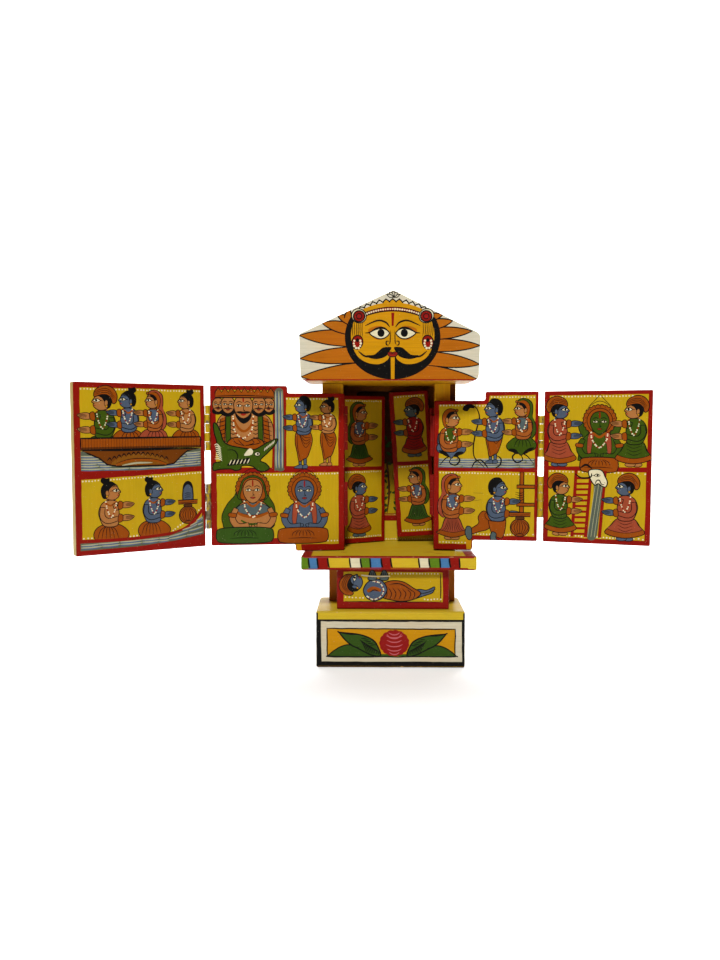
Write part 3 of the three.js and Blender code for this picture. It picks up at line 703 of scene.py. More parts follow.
def right_wing_front(p):
    """Two worshippers beside a green seated figure; below, two more at a stream and a ladder."""
    field(p, [(4.4, 76.4), (98.4, 76.2), (98.8, 147.6), (4.6, 147.4)])
    field(p, [(4.4, 4.8), (97.6, 4.4), (98.2, 71.6), (4.4, 72.4)])
    dot_rows(p, (((8, 146.4), (84, 146)), ((5.8, 71.4), (44, 70.8)), ((61, 70.8), (76, 70.6)),
                       ((90, 70), (97, 69.8)), ((20, 6.8), (74, 5.6)), ((88, 5.8), (96, 5.6))))
    green_god(p.at(53.4, 119.8, 9.4))
    figure(p.at(14.8, 132.2, 8.5), BLUE, "turban", lambda q: short_robe(q, PINK, -6.0, BLUE, 1.75),
           dress=PINK)
    figure(p.at(85.8, 132.0, 8.5, True), SKIN, "turban", lambda q: short_robe(q, GREEN, -5.9, SKIN, 1.8),
           dress=GREEN)
    for high, low in ((31.5, 28.4), (46, 41.6), (59.6, 55)):
        p.block([(high - 1.5, 72.4), (high + 1.5, 72.4), (low + 1.6, 5.6), (low - 1.6, 5.6)], RED)
    for rung in range(11):
        y = 7.4 + rung * 5.6
        x = 28.6 + (y - 6) / 66 * 3.2
        p.block([(x, y), (x + 13.6, y + 0.4), (x + 13.6, y + 2.7), (x, y + 2.3)], RED)
    p.fill([(49.6, 60), (57.4, 60), (56.6, 48), (54.4, 26), (51.6, 5), (43.2, 5), (46.4, 26), (48.6, 46)],
           WATER)
    for index, x in enumerate((49.9, 51.5, 53.1, 54.7, 56.3)):
        for low, high in ((6, 24), (21, 41), (38, 59)):
            lean, rise = (low - 56) * 0.125, (high - 56) * 0.125
            ink, width = (FOAM, 1.1) if index % 2 == 0 else (SLATE, 0.75)
            p.stroke([(x + lean, low), (x + rise, high)], width, ink, curved=False)
    p.fill([(43.6, 72), (45.4, 64), (49.6, 58), (53, 59.6), (57, 57), (60.4, 56.6), (61.8, 61.4), (59.4, 67),
            (56.4, 72.6), (50, 74)], WHITE, 0.8)
    eye(p, 51.8, 67.6, 2.8)
    p.stroke([(49.8, 58.4), (51.4, 62.4), (54, 63), (56, 59.4), (59, 58.6)], 0.8)
    p.stroke([(58.6, 61), (60, 60)], 0.8, curved=False)
    p.stroke([(30, 69.4), (37, 65), (45.5, 66), (46.6, 70)], 1.7)
    p.stroke([(35.6, 75), (41, 78.2), (47, 74.4)], 2.2)
    figure(p.at(16.6, 55.6, 8.1), SKIN, "turban", lambda q: short_robe(q, GREEN, -5.5, SKIN, 1.75),
           dress=GREEN)
    figure(p.at(78.8, 56.2, 8.4, True), BLUE, "turban", lambda q: short_robe(q, PINK, -5.7, BLUE, 2.0),
           dress=PINK)


def green_god(p):
    """A green figure seated facing front, two of its hands raised beside its shoulders."""
    for half in p.sides():
        half.stroke([(1.2, 1.7), (0.5, 2.4), (0, 3.0)], 0.5)
        half.fill([(1.6, -1.6), (2.1, -0.7), (2.1, -0.1), (1.5, 0.1), (1.3, -0.6), (1.0, -1.3)], GREEN, 0.55)
        half.limb([(1.5, -1.6), (1.75, -2.8), (2.0, -4.0)], 0.5, GREEN)
    seated_front(p, GREEN, ORANGE, 1.95, scarf=PINK)


def leaf_pair(p, width, height, scene):
    """A narrow leaf: two fields, each with one figure and its rows of dots."""
    middle = height * 0.505
    edge, inset = 4.6, 1.6
    for low, high in ((edge, middle - 2.4), (middle + 2.0, height - edge)):
        field(p, [(edge, low), (width - edge, low), (width - edge, high), (edge, high)])
        dot_row(p, (edge + inset, high - 1.5), (width - edge - inset, high - 1.5), 2.7)
    dot_row(p, (edge + inset, edge + inset), (width - edge - inset, edge + inset), 2.7)
    for x, y, unit, flip, skin, hair, lower, dress, blouse, veil in scene:
        figure(p.at(x, y, unit, flip), skin, hair, lower, dress, blouse, veil)


def left_leaf_front(p):
    upper_skirt = lambda q: flared_skirt(q, LEAF_GREEN, -6.1, 1.75)
    lower_robe = lambda q: short_robe(q, PINK, -5.6, SLATE, 1.5)
    leaf_pair(p, 55.5, 161.5, ((23, 142, 8.8, False, SKIN, "veil", upper_skirt, None, BLUE, GREEN),
                               (22.8, 60.6, 8.8, False, BLUE, "turban", lower_robe, PINK, None, None)))


def right_leaf_front(p):
    upper_robe = lambda q: short_robe(q, RED, -5.7, SLATE, 1.5)
    lower_skirt = lambda q: flared_skirt(q, LEAF_GREEN, -6.4, 1.8)
    leaf_pair(p, 43, 161, ((24, 139.6, 8.2, True, SLATE, "turban", upper_robe, RED, None, None),
                           (23.6, 65, 7.9, True, SKIN, "veil", lower_skirt, None, BLUE, GREEN)))


def roof_front(p):
    """The great face: a bearded guardian with a lotus crown, rays of petals round it."""
    middle = 91.8
    left_rays = (((44, 60), (42.6, 69.4), 3.4), ((40, 57), (54.6, 64), 4), ((42, 50), (69.8, 56.4), 5.8),
                 ((38, 40.6), (92, 44), 8), ((36, 25.4), (91.2, 21.4), 8), ((6, 7), (90.4, 3.6), 12))
    right_rays = (((36, 61), (49, 64), 3.6), ((38, 54), (58.8, 58), 4.8), ((38, 45.4), (78, 48), 6),
                  ((38, 34.4), (86, 34), 6.4), ((36, 21.6), (85.8, 15.6), 7), ((6, 6.4), (85, 0.4), 11.6))
    for flip, rays in ((True, left_rays), (False, right_rays)):
        for root, tip, half in rays[::-1]:
            petal(p.at(middle, 0, 1, flip), root, tip, half)
    p.stroke([(3, 0.4), (90, 0.6), (176, 0.4)], 1.1, RED, 1.0)
    q = p.at(middle, 43.5)
    q.block(arc(0, -1.4, 46.8, 41, 152, 388, 44), BLACK)
    q.fill(mirrored([(0, 30), (20, 27), (33, 20.5), (39.4, 10), (40.6, -4), (35, -19), (24.6, -26.2),
                     (12.8, -27.4), (5, -23.4), (2.2, -18.6)]), GOLD)
    q.block([(-2, -17), (2.2, -17), (1.9, -42), (-1.5, -42)], GOLD)
    crown(q)
    for half in q.at(0, 1.2).sides():
        half_face(half)
    q.block([(-1.4, 22.4), (1.6, 22.4), (0.9, 9.6), (-0.9, 9.6)], RED)
    q.fill([(-5, -16.6), (-2, -15.6), (0, -16.4), (2, -15.6), (5, -16.6), (3, -20), (-3, -20)], LIP, 0.6)
    q.stroke([(-4.4, -17.8), (0, -17.4), (4.4, -17.8)], 0.5)


def petal(p, root, tip, half):
    """One orange ray from the head outwards, pointed at its tip."""
    (ax, ay), (bx, by) = root, tip
    length = math.dist(root, tip)
    nx, ny = (ay - by) / length * half, (bx - ax) / length * half
    mx, my = ax + (bx - ax) * 0.45, ay + (by - ay) * 0.45
    qx, qy = ax + (bx - ax) * 0.78, ay + (by - ay) * 0.78
    upper = [(ax + nx, ay + ny), (mx + nx * 0.9, my + ny * 0.9), (qx + nx * 0.5, qy + ny * 0.5), (bx, by)]
    lower = [(bx, by), (qx - nx * 0.5, qy - ny * 0.5), (mx - nx * 0.9, my - ny * 0.9), (ax - nx, ay - ny)]
    loop = np.vstack([smooth(upper, False), smooth(lower, False)[1:]])
    p.block(loop, PETAL)
    p.stroke(upper, 0.9, BLACK, 0.6)
    p.stroke(lower, 0.9, BLACK, 0.6)


def crown(p):
    """The band of beads, the gold band with its lotus edge above it and the flower at the top."""
    low, first, step = -24, 60.5, 5.9
    for index in range(11):
        angle = math.radians(first + index * step)
        x, y = 60 * math.cos(angle), low + 55 * math.sin(angle)
        leaf = p.at(x, y, 1, False, (math.degrees(angle) - 90) * 0.9)
        leaf.fill(mirrored([(-3.4, -1), (-3.0, 2.2), (0, 4.8), (0, 4.8)]),
                  GOLD if 3 < index < 7 else PLASTER, 0.85)
    p.block(np.vstack([arc(0, low, 62, 56.4, 60, 120, 20), arc(0, low, 58, 44, 120, 60, 12)]), GOLD)
    p.stroke(arc(0, low, 61, 50, 60, 120), 2.9, RED, 0.95)
    for lift, width in ((48.2, 0.9), (51.8, 0.6)):
        p.stroke(arc(0, low, 61, lift, 60, 120), width, BLACK, 0.95)
    p.beads(arc(0, low, 61, 50, 61, 119, 9), 27, 0.95)
    for turn in (-68, -36, 0, 36, 68):
        leaf = p.at(0.6, 37.4, 1, False, turn)
        leaf.fill(mirrored([(0, 0), (0, 0), (-1.5, 3.2), (0, 6.8), (0, 6.8)]), PLASTER, 0.6)


def half_face(p):
    """The right half of the great face; it is drawn twice, once mirrored."""
    p.fill([(4, 1.6), (12, 8.6), (24, 4.6), (17, -4.4), (8, -4.2)], PETAL)
    p.fill([(3.2, 1.4), (8, 5.6), (15, 5.4), (22.6, 1.4), (15, -3.6), (8, -3.4)], WHITE, 0.8)
    p.block(oval(11.4, 1.6, 3.5, 3.9, 0, 16), BLACK)
    p.stroke([(3.0, 1.4), (8, 6.4), (15, 6.4), (22.4, 2.2), (27, 1.6)], 1.5, BLACK, 0.35)
    p.stroke([(2.8, 7.4), (7, 12), (15, 13.6), (27, 8.6)], 1.8, BLACK, 0.3)
    p.fill([(1.4, -12.4), (8.8, -12.4), (13.6, -16), (18.4, -19.6), (25.6, -20.2), (23, -22.6), (15.4, -23.8),
            (7, -21.4), (3.4, -17)], BLACK)
    p.stroke([(18, -21.2), (27, -21), (33.6, -16)], 1.25)
    p.stroke([(2.2, 4), (2.4, -6), (3.2, -9.6)], 0.7)
    p.stroke([(3.4, -6.4), (6.1, -6.6), (6.0, -9.8), (3.6, -10.2)], 0.9)
    for lean in (29.6, 31.6, 33.4, 35.2, 37.2, 39):
        p.stroke([(lean, 13), (lean + 0.4, 4), (lean - 0.2, -2)], 0.5)
    p.block(oval(33, 18.2, 7.4, 6.8, 30, 18), WHITE, 0.7)
    p.block(oval(32.8, 17.8, 5.6, 5.4, 0, 18), RED, 0.9)
    p.block(oval(32.8, 17.8, 2.7, 2.6, steps=14), ROSE, 0.7)
    p.block(oval(34.6, -7.4, 5.4, 6.8, 12, 18), RED, 0.8)
    p.beads(arc(34.6, -8.4, 3.4, 5, 150, 390, 9), 8, 1.15)
    p.block(oval(34.4, -5.4, 1.6, 2), BLACK)


def drawer_picture(p):
    """A blue figure lying with a flute, its head in an orange turban to the left."""
    field(p, [(6.2, 6.6), (106.4, 6.2), (106, 36.6), (6, 37.2)])
    p.stroke([(103.6, 35.6), (104.2, 20), (103.8, 6.8)], 0.8)
    p.stroke([(7, 7), (60, 6.4), (105, 6.6)], 0.7)
    dot_rows(p, (((52, 35.2), (101, 35.4)), ((8, 11.4), (26, 10.8)), ((88, 9), (104, 9.4))))
    p.fill([(72, 16), (82, 19.4), (90, 18.6), (98, 22), (96, 16), (90, 13.6), (84, 11.6), (74, 9)], BLUE, 0.6)
    p.stroke([(78, 14), (90, 16), (100, 20)], 0.5)
    cloth = [(46, 24), (54, 28), (66, 27), (76, 21), (84, 15.4), (78, 9.6), (66, 7), (54, 8.4), (45, 12)]
    p.fill(cloth, ORANGE, 0.7)
    for x in (50, 54.5, 59, 64, 69, 74, 78):
        p.stroke([(x - 2, 9), (x, 15), (x - 3.4, 22 - (x - 50) * 0.12)], 0.6)
    p.stroke([(52, 24.4), (64, 24.6), (78, 16)], 0.8)
    p.fill([(26, 18), (30, 26), (38, 30), (46, 27), (50, 19), (46, 11), (38, 7.6), (30, 10)], BLUE, 0.7)
    p.stroke([(30, 17), (36, 20), (44, 18)], 4.4, ORANGE, 0.6)
    p.stroke([(32, 16), (37, 18.6), (42, 17)], 0.7)
    p.beads([(30, 12), (36, 8.8), (43, 11.6), (46.5, 18), (43, 25.4), (36, 27.6)], 26, 0.8,
            (WHITE, WHITE, RED))
    for x in (31, 43):
        p.fill([(x, 29), (x + 1, 35), (x + 3.6, 39), (x + 7, 36), (x + 8, 29)], SLATE, 0.7)
        for step in (1.6, 3.4, 5.2):
            p.stroke([(x + step, 31), (x + step, 36.6)], 0.5)
    q = p.at(17, 25.6, 8.6, False, 74)
    profile(q, BLUE, "turban")
    p.stroke([(24, 33.6), (36, 32.4), (53, 32.6)], 1.5, WHITE, 0.8)


def ledge_stripes(p, width, height):
    """The row of coloured blocks along the ledge's edge, with slanting black lines between."""
    stripes = ((0.0, GRASS), (0.028, BRIGHT_BLUE), (0.08, RED), (0.142, BRIGHT_YELLOW), (0.27, WHITE),
               (0.334, GRASS), (0.39, BRIGHT_BLUE), (0.456, RED), (0.512, BRIGHT_YELLOW), (0.676, WHITE),
               (0.736, GRASS), (0.8, BRIGHT_BLUE), (0.856, RED), (0.914, BRIGHT_YELLOW))
    for index, (start, colour) in enumerate(stripes):
        left = start * width
        right = stripes[index + 1][0] * width if index + 1 < len(stripes) else width
        p.block([(left, 0), (right, 0), (right, height - 0.3), (left, height - 0.3)], colour)
    for start, _ in stripes[1:]:
        x = start * width
        lean = brush.uniform(0.2, 1.4)
        p.stroke([(x - 0.3, height - 0.4), (x + 0.2, height / 2), (x + lean, 0.7)], 1.2, BLACK, 0.8)
    p.stroke([(width * 0.09, 0.5), (width / 2, 0.8), (width * 0.965, 0.5)], 0.8, RED, 1.0)


def plinth_picture(p, face_width, face_height):
    """A rose between four green leaves, in a cream frame edged with black, below a yellow band."""
    width, high = 146, 47.4
    p = p.at((face_width - width) / 2, 0)
    p.block(wander([(0.1, 0.1), (width - 0.1, 0.1), (width - 0.1, high), (0.1, high)], 0.0), BLACK)
    p.block(wander([(3.8, 4.6), (width - 1.4, 4.8), (width - 1.8, high - 2.4), (3.4, high - 2)], 0.25), CREAM)
    p.block(wander([(9.8, 9.4), (width - 8.4, 9.8), (width - 8.2, high - 9.8), (9.6, high - 9.2)], 0.25),
            GOLD, 0.9)
    q = p.at(76.8, 10.6)
    q.stroke([(-66, 0.6), (-30, 0.2), (0, 0.8), (30, 0.2), (60, 0.9)], 2.2, LEAF_GREEN, 0.5)
    for side, scale in ((False, 1.0), (True, 1.07)):
        h = q.at(0, 0, scale, side)
        h.fill([(16, 0), (30, 7), (42, 10.4), (50, 8.6), (57, 4.4), (62.4, -0.4), (62.4, -0.4), (46, -0.8),
                (30, -0.8)], LEAF_GREEN, 0.8)
        h.fill([(13, 0), (15, 8), (20, 15), (32, 20), (42, 20.4), (52, 22.4), (52, 22.4), (46, 15), (40, 10),
                (34, 7), (22, 1)], LEAF_GREEN, 0.9)
        h.stroke([(13, 0), (15, 8), (20, 15), (32, 20), (52, 22.6)], 1.5)
        h.stroke([(33, 7.6), (39, 9.2), (46, 15), (52.4, 22.8)], 0.9)
        for lift in range(8):
            h.stroke([(14.4 + lift * 1.6, 0.6 + lift * 0.3), (15.6 + lift * 1.9, 4.4 + lift * 0.9),
                      (19 + lift * 1.9, 6.6 + lift * 1.3)], 0.7)
        for lift in range(5):
            h.stroke([(17 + lift * 2.2, 10.6 + lift * 1.5), (23 + lift * 2, 10 + lift * 1.6)], 0.65)
    q.block(scalloped(0, 13, 14.4, 12.8, 15, 0.05), ROSE)
    for y, reach in ((22.6, 5.4), (19.6, 8.4), (15, 7.4), (10.6, 8.4), (6.2, 7.2), (2.6, 5)):
        q.stroke([(-reach, y + 0.8), (-reach * 0.3, y - 1.2), (reach * 0.5, y - 0.9), (reach, y + 1)], 0.8,
                 BLUSH)
    q.stroke([(-7.4, 22), (-4, 18.2), (3, 17.8), (7.4, 22.4)], 0.8, BLUSH)


def altar_front(p, width, height):
    p.block(wander([(0.2, height - 6.5), (width - 0.2, height - 6.5), (width - 0.2, height - 0.2),
                   (0.2, height - 0.2)], 0.1), RED)
    dot_row(p, (3, 1.8), (width - 3, 1.8), 2.6)


def sanctum_back(p, width, height):
    """A bush in loose green touches on yellow, under a brown upper half that is partly painted shade; it
    shows between the leaves.
    """
    # brown over the upper half: partly a darker paint, partly painted shade for the niche's dark top under
    # the roof
    p.block([(0.2, height * 0.5), (width - 0.2, height * 0.5), (width - 0.2, height - 0.2),
            (0.2, height - 0.2)], BROWN)
    for row in range(14):
        for column in range(9):
            x = width * (0.12 + 0.76 * column / 8) + brush.uniform(-3, 3)
            y = 34 + row * 6.4 + brush.uniform(-2, 2)
            touch = p.at(x, y, 1, False, brush.uniform(-60, 60))
            touch.fill([(-3.4, 0), (0, 1.7), (3.4, 0), (0, -1.7)], LEAF_GREEN)
    for x in (0.2, 0.5, 0.8):
        p.stroke([(width * x, 30), (width * x + 2, 60), (width * x - 3, 110)], 2.2, UMBER)


def post_edge(p, width, height):
    """The red-brown outer edge of the right post."""
    p.block(wander([(width - 5.4, 0.2), (width - 0.1, 0.2), (width - 0.1, height - 0.2),
                    (width - 5.2, height - 0.2)], 0.12), UMBER)


def ledge_top(p, width, depth):
    """A yellow floor with red round its ends and a few smears of red."""
    field(p, [(8.5, 1.6), (width - 9.5, 1.6), (width - 9.5, depth - 1), (8.5, depth - 1)], BRIGHT_YELLOW)
    for x, y, reach in ((40, 26, 4), (128, 28, 6), (137, 20, 4)):
        p.fill(oval(x, y, reach, 1.0, 0, 10), RED)


def plain_back(p, width, height):
    """The outer side of a door, seen when it is shut: a border, rows of dots and one rosette."""
    field(p, [(7, 14), (width - 7, 14), (width - 7, height - 14), (7, height - 14)], YELLOW)
    field(p, [(10.5, 17.5), (width - 10.5, 17.5), (width - 10.5, height - 17.5), (10.5, height - 17.5)], RED)
    for y in (20, height - 20):
        dot_row(p, (13, y), (width - 13, y), 3)
    rosette(p, width / 2, height / 2, min(width, height) * 0.2)
    for y in (height * 0.24, height * 0.76):
        for leaf in p.at(width / 2, y, width * 0.012).sides():
            leaf.fill([(2, 0), (10, 5), (20, 4), (24, 0), (18, -3), (9, -3)], LEAF_GREEN, 0.6)
            leaf.stroke([(3, 0), (12, 1), (22, 0.4)], 0.5)
        p.fill(oval(width / 2, y, width * 0.03), GOLD, 0.6)


def rosette(p, x, y, radius):
    """A round flower of petals round a yellow heart."""
    for ring, count, colour in ((1.0, 12, ORANGE), (0.66, 8, YELLOW)):
        for index in range(count):
            leaf = p.at(x, y, radius * ring, False, 360 * index / count)
            leaf.fill([(0.06, 0.0), (-0.17, 0.55), (0, 1.0), (0.17, 0.55)], colour, 0.6)
    p.fill(oval(x, y, radius * 0.2), RED, 0.6)


# --- Cutting a face along its painted edges ------------------------------------------------------
def turns_round(points, loops):
    """How many times the loops go round each point."""
    total = np.zeros(len(points), int)
    x, y = points[:, :1], points[:, 1:]
    for loop in loops:
        ax, ay = loop[:, 0], loop[:, 1]
        bx, by = np.roll(ax, -1), np.roll(ay, -1)
        left = (bx - ax) * (y - ay) - (x - ax) * (by - ay)
        total += ((ay <= y) & (by > y) & (left > 0)).sum(1)
        total -= ((ay > y) & (by <= y) & (left < 0)).sum(1)
    return total


def cut_face(outline, picture, ground):
    """Points, triangles and the paint of each triangle, for an outline and what is painted in it."""
    loops = [outline] + [loop for shape, _ in picture.shapes for loop in shape]
    edges = []
    start = 0
    for loop in loops:
        ring = range(start, start + len(loop))
        edges += zip(ring, [*ring[1:], ring[0]])
        start += len(loop)
    flat = [Vector(point) for point in np.vstack(loops).tolist()]
    whole_area, same_point = 0, 1e-4
    found = delaunay_2d_cdt(flat, edges, [], whole_area, same_point)
    points = np.array([tuple(v) for v in found[0]])
    triangles = np.array(found[2])
    middle = points[triangles].mean(axis=1)
    kept = turns_round(middle, [outline]) != 0
    triangles, middle = triangles[kept], middle[kept]
    paints = np.tile(np.array(ground, float), (len(triangles), 1))
    for shape, colour in picture.shapes:
        both = np.vstack(shape)
        near = np.flatnonzero(((middle > both.min(0)) & (middle < both.max(0))).all(axis=1))
        if len(near):
            paints[near[turns_round(middle[near], shape) != 0]] = colour
    corner_of = {origin: index for index, origins in enumerate(found[3]) for origin in origins
                 if origin < len(outline)}
    return points, triangles, paints, [corner_of[index] for index in range(len(outline))]


# --- Dressing a solid ----------------------------------------------------------------------------
class Painted:
    """A solid of the frame with softened edges, whose flat faces can each take a picture."""

    def __init__(self, node, colour, soft=0.7, along=None, sides=None, corners=0.0, through=None):
        self.node = node
        self.colour = colour
        self.body = BODY_OF[node]
        self.bm = bmesh.new()
        self.bm.from_mesh(NODES[node].data)
        bmesh.ops.remove_doubles(self.bm, verts=self.bm.verts, dist=1e-6)
        bmesh.ops.dissolve_limit(self.bm, angle_limit=FLAT, verts=self.bm.verts, edges=self.bm.edges)
        self.paint = self.bm.loops.layers.float_color.new("paint")
        self.wear = self.bm.faces.layers.float.new("wear")
        self.grain = self.bm.verts.layers.float_vector.new("grain")
        self.round_corners(corners * MM, through)
        self.soften(soft * MM)
        axis = HINGE_AXIS.get(self.body, UP)
        self.up = axis if axis.z > 0 else -axis
        self.along = along or self.up
        for face in self.bm.faces:
            self.colour_face(face, sides)

    def round_corners(self, radius, through):
        """Rounds the corners of the outline: the edges that run `through` the board, from face to face."""
        if not radius:
            return
        through = through or max(self.bm.faces, key=lambda f: f.calc_area()).normal
        self.round_edges([e for e in self.bm.edges if e.calc_face_angle() > SHARP
                          and abs((e.verts[0].co - e.verts[1].co).normalized().dot(through)) > 0.99
                          and all(f.calc_area() > ROOM_FOR_CORNER * radius * e.calc_length()
                                  for f in e.link_faces)], radius, 5)

    def soften(self, radius):
        edges = [e for e in self.bm.edges if e.is_manifold and e.calc_face_angle() > SHARP]
        self.round_edges(edges, radius, 3)

    def round_edges(self, edges, radius, segments):
        """Rounds the edges; their new faces are the ones that wear."""
        made = bmesh.ops.bevel(self.bm, geom=edges, offset=radius, segments=segments, profile=0.5,
                               affect="EDGES", clamp_overlap=True)
        self.bm.normal_update()
        for face in made["faces"]:
            face[self.wear] = 1.0
            face.smooth = True

    def colour_face(self, face, sides):
        colour = sides and sides(face.calc_center_median() / MM, face.normal) or self.colour
        for corner in face.loops:
            corner[self.paint] = colour

    def picture(self, toward, draw, ground=None, up=None):
        """Paints the outermost flat face that looks `toward`. `draw` gets the picture, width and height."""
        up = up or self.up
        facing = [f for f in self.bm.faces if f.normal.dot(toward) > FACING and f[self.wear] == 0]
        normal = max(facing, key=lambda f: f.calc_area()).normal.copy()
        face = max((f for f in facing if f.normal.dot(normal) > SAME_WAY),
                   key=lambda f: (round(f.calc_center_median().dot(normal), 4), f.calc_area()))
        up = (up - normal * up.dot(normal)).normalized()
        across = up.cross(normal)
        rim = list(face.verts)
        flat = np.array([(across.dot(v.co), up.dot(v.co)) for v in rim]) / MM
        corner = flat.min(0)
        flat = flat - corner
        height_out = normal.dot(rim[0].co)
        width, height = flat.max(0)
        picture = Picture()
        draw(picture, width, height)
        points, triangles, paints, corners = cut_face(flat, picture, ground or self.colour)
        self.bm.faces.remove(face)
        verts = dict(zip(corners, rim))
        for index in edge_points(triangles, corners):
            verts[index] = self.split_rim(points[index], points, verts, across, up)
        for index in np.unique(triangles):
            if index not in verts:
                x, y = (points[index] + corner) * MM
                verts[index] = self.bm.verts.new(across * x + up * y + normal * height_out)
        for triangle, colour in zip(triangles.tolist(), paints.tolist()):
            three = [verts[index] for index in triangle]
            if self.bm.faces.get(three) is None:
                new = self.bm.faces.new(three)
                for loop in new.loops:
                    loop[self.paint] = colour
        return self

    def split_rim(self, point, points, verts, across, up):
        """Adds a point on the rim where a painted edge runs off the face."""
        corner = {v: index for index, v in verts.items()}
        best = None
        for edge in [e for e in self.bm.edges if e.is_boundary]:
            if any(v not in corner for v in edge.verts):
                continue
            start, end = (points[corner[v]] for v in edge.verts)
            length = math.dist(start, end)
            share = np.dot(point - start, end - start) / length**2
            away = np.linalg.norm(start + (end - start) * share - point)
            if 0 < share < 1 and (best is None or away < best[0]):
                best = (away, edge, share)
        _, edge, share = best
        _, new = bmesh.utils.edge_split(edge, edge.verts[0], share)
        return new

    def piece(self, slot, finish=None):
        """Makes the object, in place of its solid, with the slot's own finish or another."""
        self.bm.verts.ensure_lookup_table()
        normal = self.along.orthogonal().normalized()
        across = self.along.cross(normal)
        shift = Vector(brush.uniform(0, 1, 3))
        for vert in self.bm.verts:
            place = vert.co
            vert[self.grain] = Vector((across.dot(place), self.along.dot(place), normal.dot(place))) + shift
        bmesh.ops.triangulate(self.bm, faces=[f for f in self.bm.faces if len(f.verts) > 4])
        mesh = bpy.data.meshes.new(self.node + "_painted")
        self.bm.to_mesh(mesh)
        self.bm.free()
        made = bpy.data.objects.new(self.node + "_painted", mesh)
        bpy.context.scene.collection.objects.link(made)
        mesh.materials.append(finish or FINISH[slot])
        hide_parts(self.node)
        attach(made, self.body)


def edge_points(triangles, corners):
    """Points on the rim of the triangles that aren't corners of the outline."""
    pairs = np.sort(np.vstack([triangles[:, [0, 1]], triangles[:, [1, 2]], triangles[:, [2, 0]]]), axis=1)
    found, count = np.unique(pairs, axis=0, return_counts=True)
    known = set(corners)
    return [index for index in np.unique(found[count == 1]).tolist() if index not in known]


# --- Finishes ------------------------------------------------------------------------------------
class Wire:
    """A shader socket that can be used in sums: each operator adds the node that it needs."""

    def __init__(self, finish, socket):
        self.finish = finish
        self.socket = socket

    def maths(self, operation, *values):
        return self.finish.node("ShaderNodeMath", {"operation": operation}, dict(enumerate(values)))

    def __add__(self, other):
        return self.maths("ADD", self, other)

    __radd__ = __add__

    def __sub__(self, other):
        return self.maths("SUBTRACT", self, other)

    def __rsub__(self, other):
        return self.maths("SUBTRACT", other, self)

    def __mul__(self, other):
        return self.maths("MULTIPLY", self, other)

    __rmul__ = __mul__

    def above(self, level, soft):
        """0 below the level and 1 above it, with a soft step between."""
        return self.finish.node("ShaderNodeMapRange", {"clamp": True},
                                {"Value": self, "From Min": level - soft, "From Max": level + soft})


class Finish:
    """A procedural material."""

    def __init__(self, name):
        self.material = bpy.data.materials.new(name)
        self.material.use_nodes = True
        self.tree = self.material.node_tree
        self.shader = self.tree.nodes["Principled BSDF"]

    def node(self, kind, settings=None, values=None, output=0):
        """Any node: its settings first, then the values or links of its sockets."""
        node = self.tree.nodes.new(kind)
        for name, value in (settings or {}).items():
            setattr(node, name, value)
        for name, value in (values or {}).items():
            self.feed(node.inputs[name], value)
        return Wire(self, node.outputs[output])

    def feed(self, socket, value):
        if isinstance(value, Wire):
            self.tree.links.new(value.socket, socket)
        else:
            socket.default_value = value

    def attribute(self, name, output):
        return self.node("ShaderNodeAttribute", {"attribute_name": name}, {}, output)

    def stretched(self, place, scale):
        return self.node("ShaderNodeVectorMath", {"operation": "MULTIPLY"}, {0: place, 1: scale})

    def noise(self, place, scale, detail, roughness=0.5):
        return self.node("ShaderNodeTexNoise", {}, {"Vector": self.stretched(place, scale), "Scale": 1.0,
                                                    "Detail": detail, "Roughness": roughness})

    def mix(self, share, first, second, blend="MIX"):
        return self.node("ShaderNodeMix", {"data_type": "RGBA", "blend_type": blend},
                         {0: share, 6: first, 7: second}, output=2)

    def bump(self, height, distance, strength):
        return self.node("ShaderNodeBump", {}, {"Strength": strength, "Distance": distance, "Height": height})

    def surface(self, **values):
        for name, value in values.items():
            self.feed(self.shader.inputs[name.replace("_", " ").title().replace("Ior", "IOR")], value)
        return self.material


def painted_wood(name, streak, gloss):
    """Gouache on a primed board under a thin varnish: brush streaks, uneven tone, rubbed edges.

    `streak` is how far the brush marks vary the tone; `gloss` is the roughness of the varnish."""
    f = Finish(name)
    place = f.attribute("grain", 1)
    paint = f.attribute("paint", 0)
    worn = f.attribute("wear", 2)
    brushed = f.noise(place, (900, 34, 900), 4, 0.6)
    blotch = f.noise(place, (46, 30, 46), 3, 0.55)
    fine = f.noise(place, (2600, 420, 2600), 2, 0.5)
    tone = (brushed - 0.5) * streak * 2 + (blotch - 0.5) * 0.34 + (fine - 0.5) * 0.14 + 1.0
    colour = f.mix(1.0, paint, tone, "MULTIPLY")
    varnish, hand_dirt, raw_wood = shade(226, 186, 130), shade(70, 34, 16), shade(186, 146, 92)
    aged = f.mix(blotch.above(0.62, 0.14) * 0.3, colour, varnish, "MULTIPLY")
    chips = worn * f.noise(place, (150, 110, 150), 5, 0.7).above(0.64, 0.03)
    rubbed = f.mix(worn * 0.16, aged, hand_dirt)
    specks = f.noise(place, (1100, 1100, 1100), 1, 0.4).above(0.765, 0.02)
    flecked = f.mix(specks * 0.4, rubbed, CREAM)
    bare = f.mix(chips * 0.8, flecked, raw_wood)
    height = brushed * 0.55 + fine * 0.3 + blotch * 0.4 - chips * 0.8
    return f.surface(base_color=bare, roughness=gloss + (brushed - 0.5) * 0.2 + (blotch - 0.5) * 0.25,
                     normal=f.bump(height, 0.00028, 0.55),
                     specular_ior_level=0.06, coat_weight=0.04, coat_roughness=0.3)


